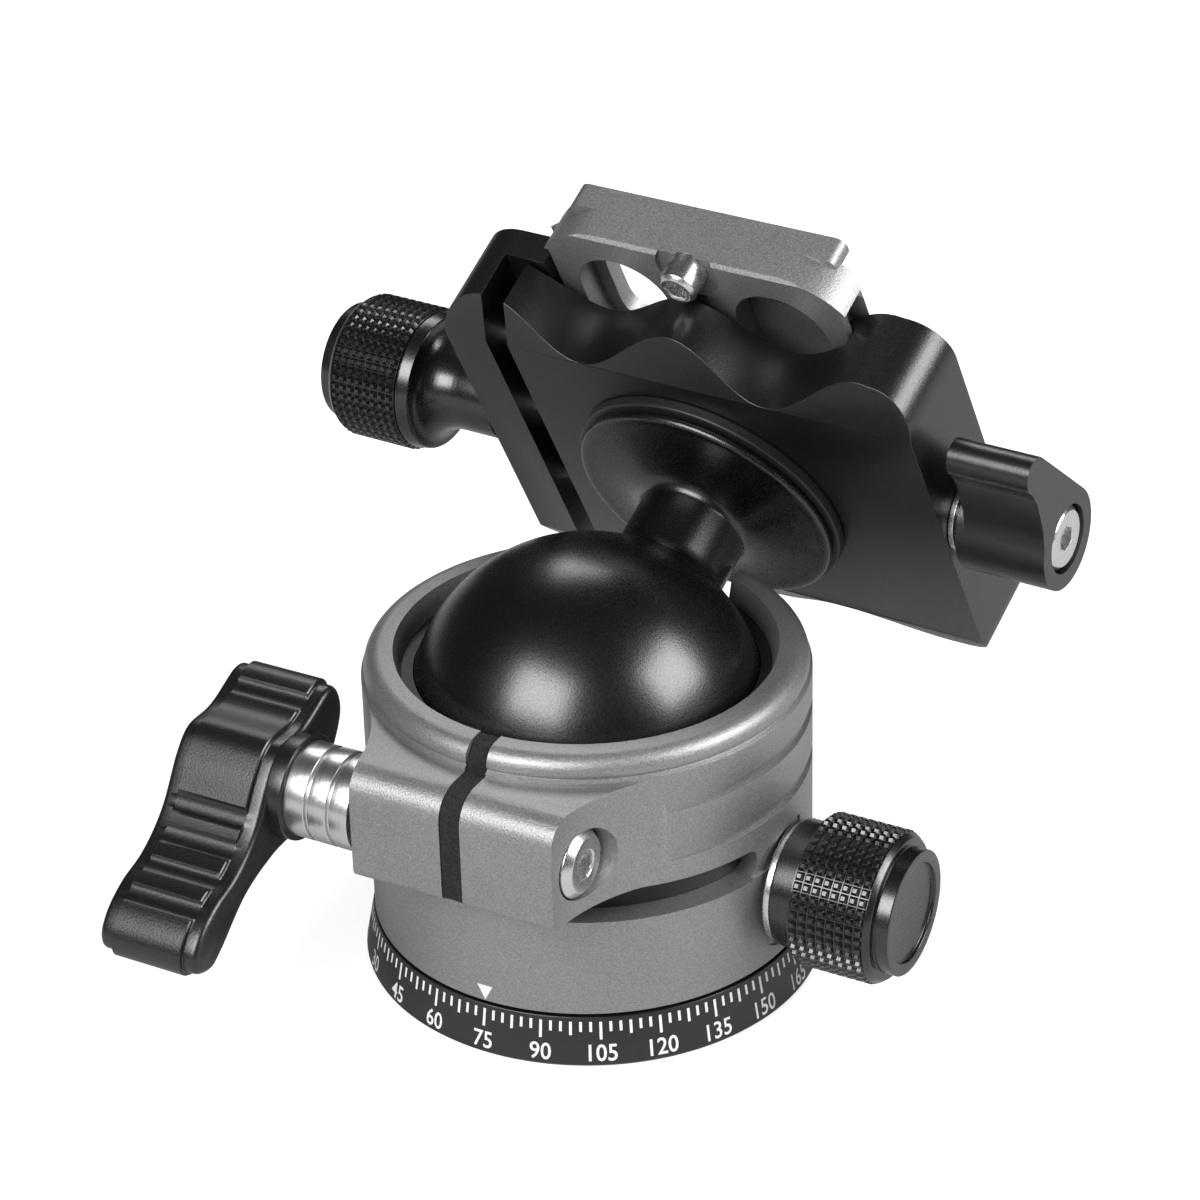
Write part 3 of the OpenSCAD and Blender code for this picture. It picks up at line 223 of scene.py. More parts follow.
def blasted(name, colour, spread, metallic, roughness, grain, bite, specular=0.5):
    """Bead-blasted and anodised metal: fine pits in the bump, the tint and the gloss, over broad
    faint clouds. The tint goes from colour less `spread` to colour plus `spread`, as shares of it."""
    pit_tint, cloud_tint, pit_gloss, cloud_gloss, middle = 1.6, 0.35, 0.16, 0.08, 0.5
    coords, close = new_finish(name)
    pits = coords.node("ShaderNodeTexNoise", {}, {
        "Vector": coords, "Scale": grain, "Detail": 1.0, "Roughness": 0.6})
    clouds = coords.node("ShaderNodeTexNoise", {}, {"Vector": coords, "Scale": 90.0, "Detail": 3.0})
    mix = (pits - middle) * pit_tint + (clouds - middle) * cloud_tint + middle
    low = tuple(c * (1 - spread) for c in colour) + (1,)
    high = tuple(c * (1 + spread) for c in colour) + (1,)
    tint = coords.node("ShaderNodeMix", {"data_type": "RGBA", "clamp_factor": True},
                       {0: mix, 6: low, 7: high}, 2)
    gloss = (pits - middle) * pit_gloss + (clouds - middle) * cloud_gloss + roughness
    bump = coords.node("ShaderNodeBump", {}, {"Height": pits, "Strength": bite, "Distance": 0.00004})
    return close({"Metallic": metallic, "Specular IOR Level": specular},
                 {"Base Color": tint, "Roughness": gloss, "Normal": bump})


def cleaned(name, mesh, turn, flat=None):
    """Merges doubles, joins coplanar faces within `flat` degrees if that is given, points the faces
    outwards and marks the edges that turn by more than `turn` degrees as crisp."""
    weld, sliver = 2e-6, 1e-6
    work = bmesh.new()
    work.from_mesh(mesh)
    bmesh.ops.remove_doubles(work, verts=work.verts, dist=weld)
    bmesh.ops.dissolve_degenerate(work, dist=sliver, edges=work.edges)
    if flat:
        bmesh.ops.dissolve_limit(work, angle_limit=math.radians(flat), verts=work.verts, edges=work.edges)
    bmesh.ops.recalc_face_normals(work, faces=work.faces)
    limit = math.radians(turn)
    for face in work.faces:
        face.smooth = True
    for edge in work.edges:
        edge.smooth = edge.calc_face_angle(0.0) < limit
    work.to_mesh(mesh)
    work.free()
    mesh.materials.clear()
    return linked(name, mesh)


def surface(name, sheets, turn=35.0, ends=False):
    """One mesh from grids of points, each given as (m by n points, joined round or not). Four
    neighbouring points make a quad; with `ends`, the first and last row of a grid become flat faces."""
    points, faces, start = [], [], 0
    for grid, around in sheets:
        m, n = grid.shape[:2]
        index = start + np.arange(m * n).reshape(m, n)
        if ends:
            faces += [index[0].tolist(), index[-1, ::-1].tolist()]
        if around:
            index = np.concatenate([index, index[:, :1]], 1)
        quads = np.stack([index[:-1, :-1], index[:-1, 1:], index[1:, 1:], index[1:, :-1]], -1)
        faces += quads.reshape(-1, 4).tolist()
        points.append(grid.reshape(-1, 3))
        start += m * n
    mesh = bpy.data.meshes.new(name)
    mesh.from_pydata(np.concatenate(points), [], faces)
    return cleaned(name, mesh, turn)


def rounded(outline, ease, steps=4):
    """An open outline with each inner corner replaced by a quadratic curve that starts and ends
    `ease` away from it, or nearer where a side is short."""
    most = 0.45
    outline = [np.array(p, float) for p in outline]
    done = [outline[0]]
    for before, corner, after in zip(outline, outline[1:], outline[2:]):
        one, two = before - corner, after - corner
        cut = min(ease, most * np.linalg.norm(one), most * np.linalg.norm(two))
        a = corner + one / np.linalg.norm(one) * cut
        b = corner + two / np.linalg.norm(two) * cut
        share = np.linspace(0, 1, steps + 1)
        done += [(1 - t) ** 2 * a + 2 * t * (1 - t) * corner + t * t * b for t in share]
    return np.array(done + [outline[-1]])


def turned(outline, count):
    """Grid of a turned shape: each outline point (height, radius) goes once round the Z axis."""
    outline = np.asarray(outline, float)
    angle = np.linspace(0, 2 * np.pi, count, endpoint=False)
    height, radius = outline[:, :1], outline[:, 1:]
    return np.stack([radius * np.cos(angle), radius * np.sin(angle), height + 0 * angle], -1) * mm


def fitted(piece, finish, body, slot, *nodes):
    """Gives a piece its material and the body that it rides on, and hides the CAD nodes that it stands for.
    The slot argument is not used.
    """
    piece.data.materials.clear()
    piece.data.materials.append(finish)
    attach(piece, body)
    if nodes:
        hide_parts(*nodes)


black_skin = blasted("black_anodised", (0.004, 0.004, 0.0042), spread=0.3, metallic=0.0,
                     roughness=0.33, grain=4200.0, bite=0.35, specular=0.8)
base_outline = rounded([
    (bush_seat, bush_seat_r), (0, bush_seat_r), (0, foot_groove_in), (foot_groove_deep, foot_groove_in),
    (foot_groove_deep, foot_groove_out), (0, foot_groove_out), (0, rim_low - rim_foot),
    (rim_foot, rim_low), (rim_top, rim_high), (rim_top, pan_ring_r), (wire_z - wire_mouth_half, pan_ring_r),
    (wire_z - wire_flank_half, pan_ring_r - wire_flank_deep), (wire_z, pan_ring_r - wire_deep),
    (wire_z + wire_flank_half, pan_ring_r - wire_flank_deep), (wire_z + wire_mouth_half, pan_ring_r),
    (pan_ring_top, pan_ring_r), (pan_ring_top, pan_ring_bore), (pan_ring_floor, pan_ring_bore),
    (pan_ring_floor, 0), (bush_hole_top, 0), (bush_hole_top, bush_hole_r), (bush_seat, bush_hole_r),
    (bush_seat, bush_seat_r)], ease=0.12)
fitted(surface("scale_base", [(turned(base_outline, count=192), True)]),
       black_skin, "base", "black_anodised", "base_plate")

# Degree marks: white print on the rim, a tick every 2.5 degrees, longer every 7.5 and longest every
# 15 with its number under it. 75 stands at the front below the index mark. The numbers are text made
# a mesh and bent round the rim.
mark_turn, print_proud = -165.0, 0.02
tick_step, tick_wide, tick_top, tick_foot, long_feet = 2.5, 0.3, 5.5, 4.35, {0: 3.45, 3: 3.95}
number_step, number_size, number_foot, number_squeeze, number_bold = 15, 2.75, 0.95, 0.92, 0.03
ticks_a_number = int(number_step / tick_step)
white_print = blasted("white_print", (0.84, 0.84, 0.84), spread=0.04, metallic=0.0, roughness=0.55,
                      grain=5000.0, bite=0.05)


def on_rim(azim, height, proud):
    """Points on the conical rim: its radius at a height, plus `proud` mm, at an azimuth."""
    radius = rim_low + (height - rim_foot) * (rim_high - rim_low) / (rim_top - rim_foot) + proud
    return np.stack([radius * np.cos(azim), radius * np.sin(azim), height + 0 * azim], -1) * mm


ticks = []
for tick in range(int(360 / tick_step)):
    half = tick_wide / 2 / rim_high
    across = math.radians(tick * tick_step + mark_turn) + np.array([-half, -half, half, half])
    foot = long_feet.get(tick % ticks_a_number, tick_foot)
    azim, tall = np.meshgrid(across, np.array([foot, tick_top]))
    ticks.append((on_rim(azim, tall, print_proud * np.array([[-1, 1, 1, -1]] * 2)), False))
fitted(surface("degree_marks", ticks), white_print, "base", "dark_plastic")

number_sheet = bmesh.new()
for value in range(0, 360, number_step):
    words = bpy.data.curves.new("number", "FONT")
    words.body, words.size, words.align_x = str(value), number_size, "CENTER"
    words.resolution_u, words.offset = 3, number_bold
    holder = linked("number", words)
    bpy.context.view_layer.update()
    drawn = holder.evaluated_get(bpy.context.evaluated_depsgraph_get())
    flat_number = bpy.data.meshes.new_from_object(drawn)
    co = np.zeros(len(flat_number.vertices) * 3, np.float32)
    flat_number.vertices.foreach_get("co", co)
    co = co.reshape(-1, 3)
    azim = math.radians(value + mark_turn) + co[:, 0] * number_squeeze / rim_low
    bent = on_rim(azim, co[:, 1] + number_foot, print_proud)
    flat_number.vertices.foreach_set("co", bent.astype(np.float32).ravel())
    number_sheet.from_mesh(flat_number)
    bpy.data.objects.remove(holder)
number_mesh = bpy.data.meshes.new("degree_numbers")
number_sheet.to_mesh(number_mesh)
number_sheet.free()
fitted(linked("degree_numbers", number_mesh), white_print, "base", "dark_plastic")

# Thread bush, retaining wire and pan washer, nearly hidden: a zinc-plated bush with its cut thread,
# a spring wire and a black acetal ring. The thread's radius is a triangle wave that climbs one pitch
# a turn, and the bush's plain side closes the sheet.
thread_pitch, thread_depth, thread_lead = 1.5875, 0.6, 0.35
bush_len, bush_r, bush_bore, bush_mouth = 6.8, 7.0, 4.02, 4.7
flange_r, flange_thick, flange_bevel = 8.4, 1.2, 0.15
bush_count, thread_rows = 96, 62
zinc = blasted("zinc_steel", (0.50, 0.50, 0.52), spread=0.08, metallic=1.0, roughness=0.32,
               grain=7000.0, bite=0.12)
slick_black = blasted("black_acetal", (0.014, 0.014, 0.014), spread=0.2, metallic=0.0, roughness=0.42,
                      grain=3000.0, bite=0.08)


def dress(node, finish):
    """Gives a CAD node its material."""
    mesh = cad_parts[node].data
    mesh.materials.clear()
    mesh.materials.append(finish)
    mesh.polygons.foreach_set("material_index", np.zeros(len(mesh.polygons), np.int32))


thread_round = np.linspace(0, 2 * np.pi, bush_count, endpoint=False)
thread_rise = np.linspace(thread_lead, bush_len - thread_lead, thread_rows)[:, None]
thread_wave = np.abs((thread_rise / thread_pitch + thread_round / (2 * np.pi)) % 1 - 0.5) * 2
thread_r = bush_bore + thread_depth * thread_wave
thread_grid = np.stack([thread_r * np.cos(thread_round), thread_r * np.sin(thread_round),
                        thread_rise + 0 * thread_r], -1) * mm
bush_side = turned([
    (0, bush_mouth), (0, flange_r - flange_bevel), (flange_bevel, flange_r),
    (flange_thick - flange_bevel, flange_r), (flange_thick, flange_r - flange_bevel), (flange_thick, bush_r),
    (bush_len, bush_r), (bush_len, bush_mouth), (bush_len - thread_lead, bush_bore)], bush_count)
bush_grid = np.concatenate([thread_grid, bush_side[::-1], thread_grid[:1]])
fitted(surface("thread_bush", [(bush_grid, True)], turn=60),
       zinc, "base", "dark_steel", "thread_insert")
dress("retaining_wire", zinc)
dress("pan_washer", slick_black)

# Housing: one grey piece, a drum below and the split clamp ring above it, milled from bar, with the
# relief slot, the front slot in its lug, the drop notch and the shallow side grooves.
grey_skin = blasted("grey_anodised", (0.32, 0.32, 0.325), spread=0.25, metallic=0.8, roughness=0.47,
                    grain=4600.0, bite=0.8)


def eased(name, node, width, segments=2):
    """A copy of a CAD node, merged, its coplanar triangles joined and its crisp edges broken by
    `width` mm."""
    flat, turn = 0.4, 30.0
    piece = cleaned(name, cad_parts[node].data.copy(), turn, flat)
    bevel = piece.modifiers.new("broken_edges", "BEVEL")
    bevel.width, bevel.segments, bevel.limit_method = width * mm, segments, "ANGLE"
    bevel.angle_limit, bevel.harden_normals, bevel.use_clamp_overlap = math.radians(turn), True, True
    bevel.miter_outer = "MITER_ARC"
    return piece


fitted(eased("split_housing", "housing", width=0.28, segments=3),
       grey_skin, "housing", "grey_anodised", "housing")

# Index mark: a small white triangle printed on the drum over the scale, its point down at the ticks.
index_half, index_base, index_tip, drum_r = 0.95, 8.4, 6.55, 24.8
index_azim = np.array([-index_half, index_half, 0.0]) / drum_r - math.pi / 2
index_high = np.array([index_base, index_base, index_tip])
index_r = drum_r + print_proud
index_points = np.stack([index_r * np.cos(index_azim), index_r * np.sin(index_azim), index_high], -1) * mm
index_mesh = bpy.data.meshes.new("index_mark")
index_mesh.from_pydata(index_points, [], [(0, 2, 1)])
fitted(linked("index_mark", index_mesh), white_print, "housing", "dark_plastic")

# Slot strip: black foam rubber cut from sheet and pressed into the front slot, dull and pitted. Its
# cells are a Voronoi pattern in the bump, the tint and the gloss.
foam_dull, cell_dull = 0.82, 0.1
coords, close = new_finish("foam_rubber")
cells = coords.node("ShaderNodeTexVoronoi", {"feature": "F1"}, {"Vector": coords, "Scale": 2600.0})
foam_bump = coords.node("ShaderNodeBump", {}, {"Height": cells, "Strength": 0.8, "Distance": 0.0001})
foam_tint = coords.node("ShaderNodeMix", {"data_type": "RGBA"}, {
    0: cells, 6: (0.010, 0.010, 0.010, 1), 7: (0.03, 0.03, 0.03, 1)}, 2)
foam = close({"Specular IOR Level": 0.25}, {
    "Base Color": foam_tint, "Roughness": cell_dull * cells + foam_dull, "Normal": foam_bump})
fitted(eased("foam_strip", "slot_strip", width=0.2), foam, "housing", "black_rubber", "slot_strip")

# Liner: split ring of black acetal in which the ball turns, set into the clamp ring; only its lip
# shows round the ball.
fitted(eased("liner_ring", "ball_liner", width=0.2), slick_black, "housing", "dark_plastic", "ball_liner")

# Lock bolt: bright steel screw across the lug, its head in a counterbore of the lug's right end, with
# a broad bevel and a hex socket in a shallow dish.
bolt_y, bolt_z, quarter = -25.2, 28.2, math.radians(90)
bright = blasted("bright_steel", (0.72, 0.72, 0.73), spread=0.06, metallic=1.0, roughness=0.28,
                 grain=5200.0, bite=0.05)


def hexed(outline, count):
    """Grid of a turned shape: each outline point is (height, radius, share), and its ring goes from
    round at share 0 to a regular hexagon, of that radius over the corners, at share 1."""
    outline = np.asarray(outline, float)
    angle = np.linspace(0, 2 * np.pi, count, endpoint=False)
    hexagon = math.cos(math.pi / 6) / np.cos(angle % (math.pi / 3) - math.pi / 6)
    height, share = outline[:, :1], outline[:, 2:]
    radius = outline[:, 1:2] * (1 - share + share * hexagon)
    return np.stack([radius * np.cos(angle), radius * np.sin(angle), height + 0 * angle], -1) * mm


def socket_screw(end, shank_r, seat, head_r, top, bevel_long, bevel_in, dish, socket_r, socket_deep,
                 cone, ease):
    """Grid of a socket screw along its axis: the shank from its end to the head's seat, the head up to
    its bevelled top, the dish as points (depth, radius, share), and the six-sided socket with a cone
    at its bottom."""
    bottom = top - socket_deep
    shank = [(end, 0, 0), (end, shank_r, 0), (seat, shank_r, 0)]
    head = [(seat, head_r, 0), (top - bevel_long, head_r, 0), (top, head_r - bevel_in, 0)]
    socket = [(top - deep, r, share) for deep, r, share in dish]
    socket += [(bottom, socket_r, 1), (bottom - cone, 0, 0)]
    return hexed(rounded(shank + head + socket, ease, steps=3), count=144)


def placed(grid, spot):
    """Grid points carried by a 4 by 4 placement."""
    spot = np.array(spot)
    return grid @ spot[:3, :3].T + spot[:3, 3]


bolt_centre = Matrix.Translation((0, bolt_y * mm, bolt_z * mm))
bolt_right = bolt_centre @ Matrix.Rotation(quarter, 4, "Y")
bolt_grid = socket_screw(
    end=-30.85, shank_r=2.5, seat=9.95, head_r=3.9, top=13.35, bevel_long=0.8, bevel_in=0.75,
    dish=[(0, 1.75, 0), (0.15, 1.6, 0), (0.15, 1.45, 1)], socket_r=1.45, socket_deep=1.95, cone=0.4, ease=0.1)
fitted(surface("lock_bolt_screw", [(placed(bolt_grid, bolt_right), True)], turn=32),
       bright, "housing", "bright_steel", "lock_bolt")

# Collar: bright turned spacer with two fine grooves between the lug and the lever. Its finish is a
# noise drawn out round the bolt's axis, as a lathe tool leaves it.
collar_in, collar_out, collar_r, collar_bore = 12.85, 20.85, 5.3, 2.56
groove_places, groove_wide, groove_flank, groove_deep = (2.2, 4.9), 0.5, 0.1, 0.4
lathe_gloss, streak_gloss = 0.24, 0.12
coords, close = new_finish("turned_steel")
stretch = coords.node("ShaderNodeVectorMath", {"operation": "MULTIPLY"}, {
    0: coords, 1: (9000.0, 150.0, 150.0)})
streaks = coords.node("ShaderNodeTexNoise", {}, {"Vector": stretch, "Scale": 1.0, "Detail": 1.0})
lathe_bump = coords.node("ShaderNodeBump", {}, {"Height": streaks, "Strength": 0.35, "Distance": 0.00003})
lathe_tint = coords.node("ShaderNodeMix", {"data_type": "RGBA"}, {
    0: streaks, 6: (0.58, 0.58, 0.59, 1), 7: (0.76, 0.76, 0.77, 1)}, 2)
turned_steel = close({"Metallic": 1.0}, {
    "Base Color": lathe_tint, "Roughness": streak_gloss * streaks + lathe_gloss, "Normal": lathe_bump})
bolt_left = bolt_centre @ Matrix.Rotation(-quarter, 4, "Y")
collar_outline = [(collar_in, collar_bore), (collar_in, collar_r)]
groove_r = collar_r - groove_deep
for groove_place in groove_places:
    at = collar_in + groove_place
    until = at + groove_wide
    collar_outline += [(at, collar_r), (at + groove_flank, groove_r), (until - groove_flank, groove_r),
                       (until, collar_r)]
collar_outline += [(collar_out, collar_r), (collar_out, collar_bore), (collar_in, collar_bore)]
collar_grid = turned(rounded(collar_outline, ease=0.12, steps=3), count=128)
fitted(surface("spacer_collar", [(placed(collar_grid, bolt_left), True)], turn=50),
       turned_steel, "lock_lever", "bright_steel", "lever_collar")

# Lock lever: aluminium, blasted and anodised black. Its middle stands proud of a rail on each side,
# round flutes cross the middle, and a round boss at its hub meets the collar. The side view is a
# closed curve through points forward of and above the bolt, and the section is carried round it.
lever_fwd = np.array([-7.4, -2.4, 2.2, 5.1, 8.7, 12.6, 16.8, 20.0, 21.7, 21.2,
                      18.4, 15.8, 10.7, 5.3, 0.6, -5.0, -8.9, -10.6, -9.8])
lever_up = np.array([8.2, 6.4, 6.1, 3.8, -1.2, -4.1, -5.5, -7.5, -10.0, -12.4,
                     -13.4, -12.2, -8.5, -6.8, -6.3, -4.1, 0.4, 4.1, 7.4])
lever_in, lever_wide, rail_wide, rail_drop, edge_round = 22.35, 12.4, 1.75, 0.5, 0.75
rail_step = [(-0.12, 0), (0, 0.1), (0.03, 0.37), (0.15, rail_drop)]
middle_inset, boss_r, boss_end = 0.6, 5.95, 22.8
flute_spots = [(-8.4, -0.15), (-11.0, -2.35), (-14.35, -4.45), (-17.9, -6.25), (4.9, 7.0)]
flute_half, flute_deep = 1.2, 0.5
loop_points, span_steps, edge_rows, middle_rows = 640, 24, 6, 5


def smooth_loop(points, steps):
    """Closed curve through the points: each span is the cubic that its four nearest points give."""
    t = np.linspace(0, 1, steps, endpoint=False)[None, :, None]
    a, b, c, d = (np.roll(points, k, 0)[:, None, :] for k in (1, 0, -1, -2))
    squared, cubed = 2 * a - 5 * b + 4 * c - d, 3 * b - a - 3 * c + d
    span = 0.5 * (2 * b + (c - a) * t + squared * t ** 2 + cubed * t ** 3)
    return span.reshape(-1, 2)


def evenly(loop, count):
    """The same closed loop with `count` points at equal steps of its length."""
    ring = np.concatenate([loop, loop[:1]])
    far = np.concatenate([[0], np.cumsum(np.linalg.norm(np.diff(ring, axis=0), axis=1))])
    want = np.linspace(0, far[-1], count, endpoint=False)
    return np.stack([np.interp(want, far, ring[:, 0]), np.interp(want, far, ring[:, 1])], -1)


def ring_grid(low, high, bore, outer, ease, count):
    """Grid of a flat turned ring: from `low` to `high` along its axis, its edges rounded by `ease`
    but for the one at which the outline closes."""
    return turned(rounded([(low, bore), (low, outer), (high, outer), (high, bore), (low, bore)], ease), count)


lever_loop = evenly(smooth_loop(np.stack([-lever_fwd, lever_up], -1), span_steps), loop_points)
after = np.roll(lever_loop, -1, 0)
ahead = after - np.roll(lever_loop, 1, 0)
ahead /= np.linalg.norm(ahead, axis=1)[:, None]
turns_left = np.sum(lever_loop[:, 0] * after[:, 1] - lever_loop[:, 1] * after[:, 0]) > 0
outward = np.stack([ahead[:, 1], -ahead[:, 0]], -1) * (1 if turns_left else -1)
loop_step = np.linalg.norm(lever_loop[1] - lever_loop[0])
flute = np.zeros(loop_points)
for flute_spot in flute_spots:
    near = int(np.argmin(np.linalg.norm(lever_loop - flute_spot, axis=1)))
    steps_off = (np.arange(loop_points) - near + loop_points // 2) % loop_points - loop_points // 2
    along = np.abs(steps_off) * loop_step
    flute = np.maximum(flute, np.sqrt(np.clip(1 - (along / flute_half) ** 2, 0, 1)) * flute_deep)
arc = np.linspace(0, np.pi / 2, edge_rows)
edge = np.stack([edge_round * (1 - np.cos(arc)), -rail_drop - edge_round * (1 - np.sin(arc))], -1)
half_section = np.concatenate([edge, np.array(rail_step) + [rail_wide, -rail_drop]])
middle_start = rail_wide + middle_inset
middle_across = np.linspace(middle_start, lever_wide - middle_start, middle_rows)
middle = np.stack([middle_across, np.zeros(middle_rows)], -1)
section = np.concatenate([half_section, middle, half_section[::-1] * [-1, 1] + [lever_wide, 0]])
depth = np.minimum(section[:, 1:], -flute[None, :])
lever_side = lever_loop[None] + outward[None] * depth[..., None] + np.array([bolt_y, bolt_z])
lever_x = -(lever_in + section[:, :1]) + 0 * depth
lever_grid = np.concatenate([lever_x[..., None], lever_side], -1) * mm
fitted(surface("lock_lever_bar", [(lever_grid, True)], turn=34, ends=True),
       black_skin, "lock_lever", "black_anodised", "lock_lever")
boss_grid = ring_grid(collar_out, boss_end, collar_bore, boss_r, ease=0.2, count=96)
fitted(surface("lever_boss", [(placed(boss_grid, bolt_left), True)]),
       black_skin, "lock_lever", "black_anodised")

# Pan lock: a knurled knob on a short steel stud, a bright washer between it and the drum, and a brass
# pad inside. The knurl is cut square, 48 teeth round, each left as a small flat-topped pyramid.
pan_z, stud_hole_r, stud_hole_end, knob_face, hub_r, hub_end = 14.55, 2.93, 33.0, 25.6, 7.2, 28.2
pan_knurl_start, pan_knurl_end = 28.4, 37.2
washer_in, washer_out, washer_r = 24.7, 25.5, 6.9
knurl_tip, knurl_root, knurl_round, knurl_columns = 8.68, 8.26, 48, 8
place_share, rise_share = np.array([0.0, 0.10, 0.35, 0.75]), np.array([0.0, 0.0, 1.0, 1.0])
lead_in, lead_drop, rear_r, rear_bevel_r, rear_long = 0.1, 0.3, 8.5, 7.95, 0.8
lip_r, lip_long, disc_r, disc_foot_r, disc_sunk, knob_count = 7.1, 2.5, 5.7, 5.6, 0.45, 240
knob_skin = blasted("black_knob", (0.005, 0.005, 0.0055), spread=0.2, metallic=0.0, roughness=0.26,
                    grain=5000.0, bite=0.15, specular=0.9)


def knurled(start, end):
    """Grid of a square knurl: along and round, each pitch runs groove, flank, flat top, flank. The
    radius is the lower of the two, so the teeth are pyramids."""
    teeth, rows = np.arange(knurl_round)[:, None], np.arange(knurl_columns)[:, None]
    angle = (teeth + place_share).ravel() / knurl_round * 2 * np.pi
    height = np.append((rows + place_share).ravel(), knurl_columns) / knurl_columns * (end - start) + start
    rise_along = np.append(np.tile(rise_share, knurl_columns), 0.0)[:, None]
    rise = np.minimum(rise_along, np.tile(rise_share, knurl_round)[None, :])
    radius = knurl_root + (knurl_tip - knurl_root) * rise
    return np.stack([radius * np.cos(angle), radius * np.sin(angle), height[:, None] + 0 * angle], -1) * mm


def knob(name, neck, start, end, spot, body, *nodes):
    """A knob in three sheets: its turned neck, the knurl, and the turned end with bevel and sunk disc."""
    rear, tip = end + rear_long, end + lip_long
    front = rounded(neck + [(start - lead_in, knurl_root - lead_drop), (start, knurl_root)], ease=0.15)
    close_end = rounded([
        (end, knurl_root), (end + lead_in, rear_r), (rear, rear_bevel_r), (rear, lip_r), (tip, lip_r),
        (tip, disc_r), (tip - disc_sunk, disc_foot_r), (tip - disc_sunk, 0)], ease=0.16)
    grids = turned(front, knob_count), knurled(start, end), turned(close_end, knob_count)
    sheets = [(placed(grid, spot), True) for grid in grids]
    fitted(surface(name, sheets, turn=26), knob_skin, body, "black_anodised", *nodes)


pan_spot = Matrix.Translation((0, 0, pan_z * mm)) @ Matrix.Rotation(quarter, 4, "Y")
pan_neck = [(stud_hole_end, 0), (stud_hole_end, stud_hole_r), (knob_face, stud_hole_r),
            (knob_face, hub_r), (hub_end, hub_r)]
knob("pan_lock_knob", pan_neck, pan_knurl_start, pan_knurl_end, pan_spot,
     "pan_knob", "pan_knob", "pan_knob_cap")
washer_grid = ring_grid(washer_in, washer_out, stud_hole_r, washer_r, ease=0.15, count=128)
fitted(surface("bright_washer", [(placed(washer_grid, pan_spot), True)]),
       bright, "pan_knob", "bright_steel", "pan_knob_washer")
brass = blasted("turned_brass", (0.60, 0.42, 0.16), spread=0.08, metallic=1.0, roughness=0.28,
                grain=6000.0, bite=0.1)
dress("pan_stud", zinc)
dress("pan_pad", brass)

# Ball, stem and flange: one turned aluminium piece, blasted fine and anodised satin black. The stem
# leans 62 degrees back from upright, and what it carries is set in the stem's own frame.
ball_z, ball_swing, ball_lean, ball_twist = 29.62, -3.21, -62.12, -0.59
ball_r, ball_end_deg, stem_low, stem_r = 20.0, 158, 20.6, 6.5
ball_rows, flare_rows, bead_rows = 90, 22, 12
flare_start, flare_long, flare_wide = 25.9, 3.0, 8.6
bead_z, bead_r = 29.6, 0.7
clamp_stud_mouth, clamp_stud_hole, clamp_stud_end = 4.1, 4.03, 20.0
head_spot = (Matrix.Translation((0, 0, ball_z * mm)) @ Matrix.Rotation(math.radians(ball_swing), 4, "Z")
             @ Matrix.Rotation(math.radians(ball_lean), 4, "X")
             @ Matrix.Rotation(math.radians(ball_twist), 4, "Z"))
ball_skin = blasted("black_ball", (0.002, 0.002, 0.0022), spread=0.3, metallic=0.0, roughness=0.28,
                    grain=4600.0, bite=0.22, specular=0.8)
ball_arc = np.radians(np.linspace(0, ball_end_deg, ball_rows))
round_ball = np.stack([-ball_r * np.cos(ball_arc), ball_r * np.sin(ball_arc)], -1)
stem = np.array([(-1.75, 0.5), (-1.35, 0.18), (-0.8, 0), (0, 0)]) + [stem_low, stem_r]
flare_arc = np.radians(np.linspace(0, 90, flare_rows))
flare = np.stack([flare_start + flare_long * np.sin(flare_arc),
                  stem_r + flare_wide * (1 - np.cos(flare_arc))], -1)
bead_arc = np.radians(np.linspace(-60, 90, bead_rows))
bead = np.stack([bead_z + bead_r * np.sin(bead_arc), stem_r + flare_wide + bead_r * np.cos(bead_arc)], -1)
stud_hole = [(bead_z + bead_r, clamp_stud_mouth), (clamp_stud_end, clamp_stud_hole), (clamp_stud_end, 0)]
stem_grid = turned(np.concatenate([round_ball, stem, flare, bead, stud_hole]), count=200)
fitted(surface("ball_and_stem", [(placed(stem_grid, head_spot), True)], turn=40),
       ball_skin, "ball", "black_anodised", "ball")
dress("clamp_stud", zinc)

# Clamp seat: thin black disc of acetal between the ball's flange and the clamp, held on the stud.
seat_low, seat_high, seat_r = 30.4, 31.77, 16.4
seat_grid = ring_grid(seat_low, seat_high, clamp_stud_mouth, seat_r, ease=0.3, count=160)
fitted(surface("seat_disc", [(placed(seat_grid, head_spot), True)]),
       slick_black, "clamp", "dark_plastic", "clamp_seat")

# Clamp: milled aluminium body with wavy ends, anodised black, and its sliding jaw, all edges broken.
# Steel pins guide the jaw, and the rod draws it in.
fitted(eased("clamp_block", "clamp_body", width=0.22), black_skin, "clamp", "black_anodised", "clamp_body")
fitted(eased("clamp_jaw", "jaw", width=0.22), black_skin, "jaw", "black_anodised", "jaw")
dress("guide_pins", zinc)
dress("draw_rod", zinc)

# Jaw knob: the second knurled knob, turned from aluminium and anodised, on a slim flared neck at the
# end of the draw rod.
rod_z, rod_hole_r, rod_hole_end, neck_face, neck_r = 36.6, 2.06, 49.0, 30.0, 4.9
swell_start, swell_long, swell_wide, swell_deg, swell_rows = 35.0, 4.4, 2.8, 84, 12
jaw_knurl_start, jaw_knurl_end = 41.3, 50.1
rod_in_head = head_spot @ Matrix.Translation((0, 0, rod_z * mm))
rod_left, rod_right = (rod_in_head @ Matrix.Rotation(side, 4, "Y") for side in (-quarter, quarter))
swell_arc = np.radians(np.linspace(0, swell_deg, swell_rows))
swell = np.stack([swell_start + swell_long * np.sin(swell_arc),
                  neck_r + swell_wide * (1 - np.cos(swell_arc))], -1)
smooth_band = [(39.5, 8.05), (40.9, 8.3), (41.1, 8.3)]
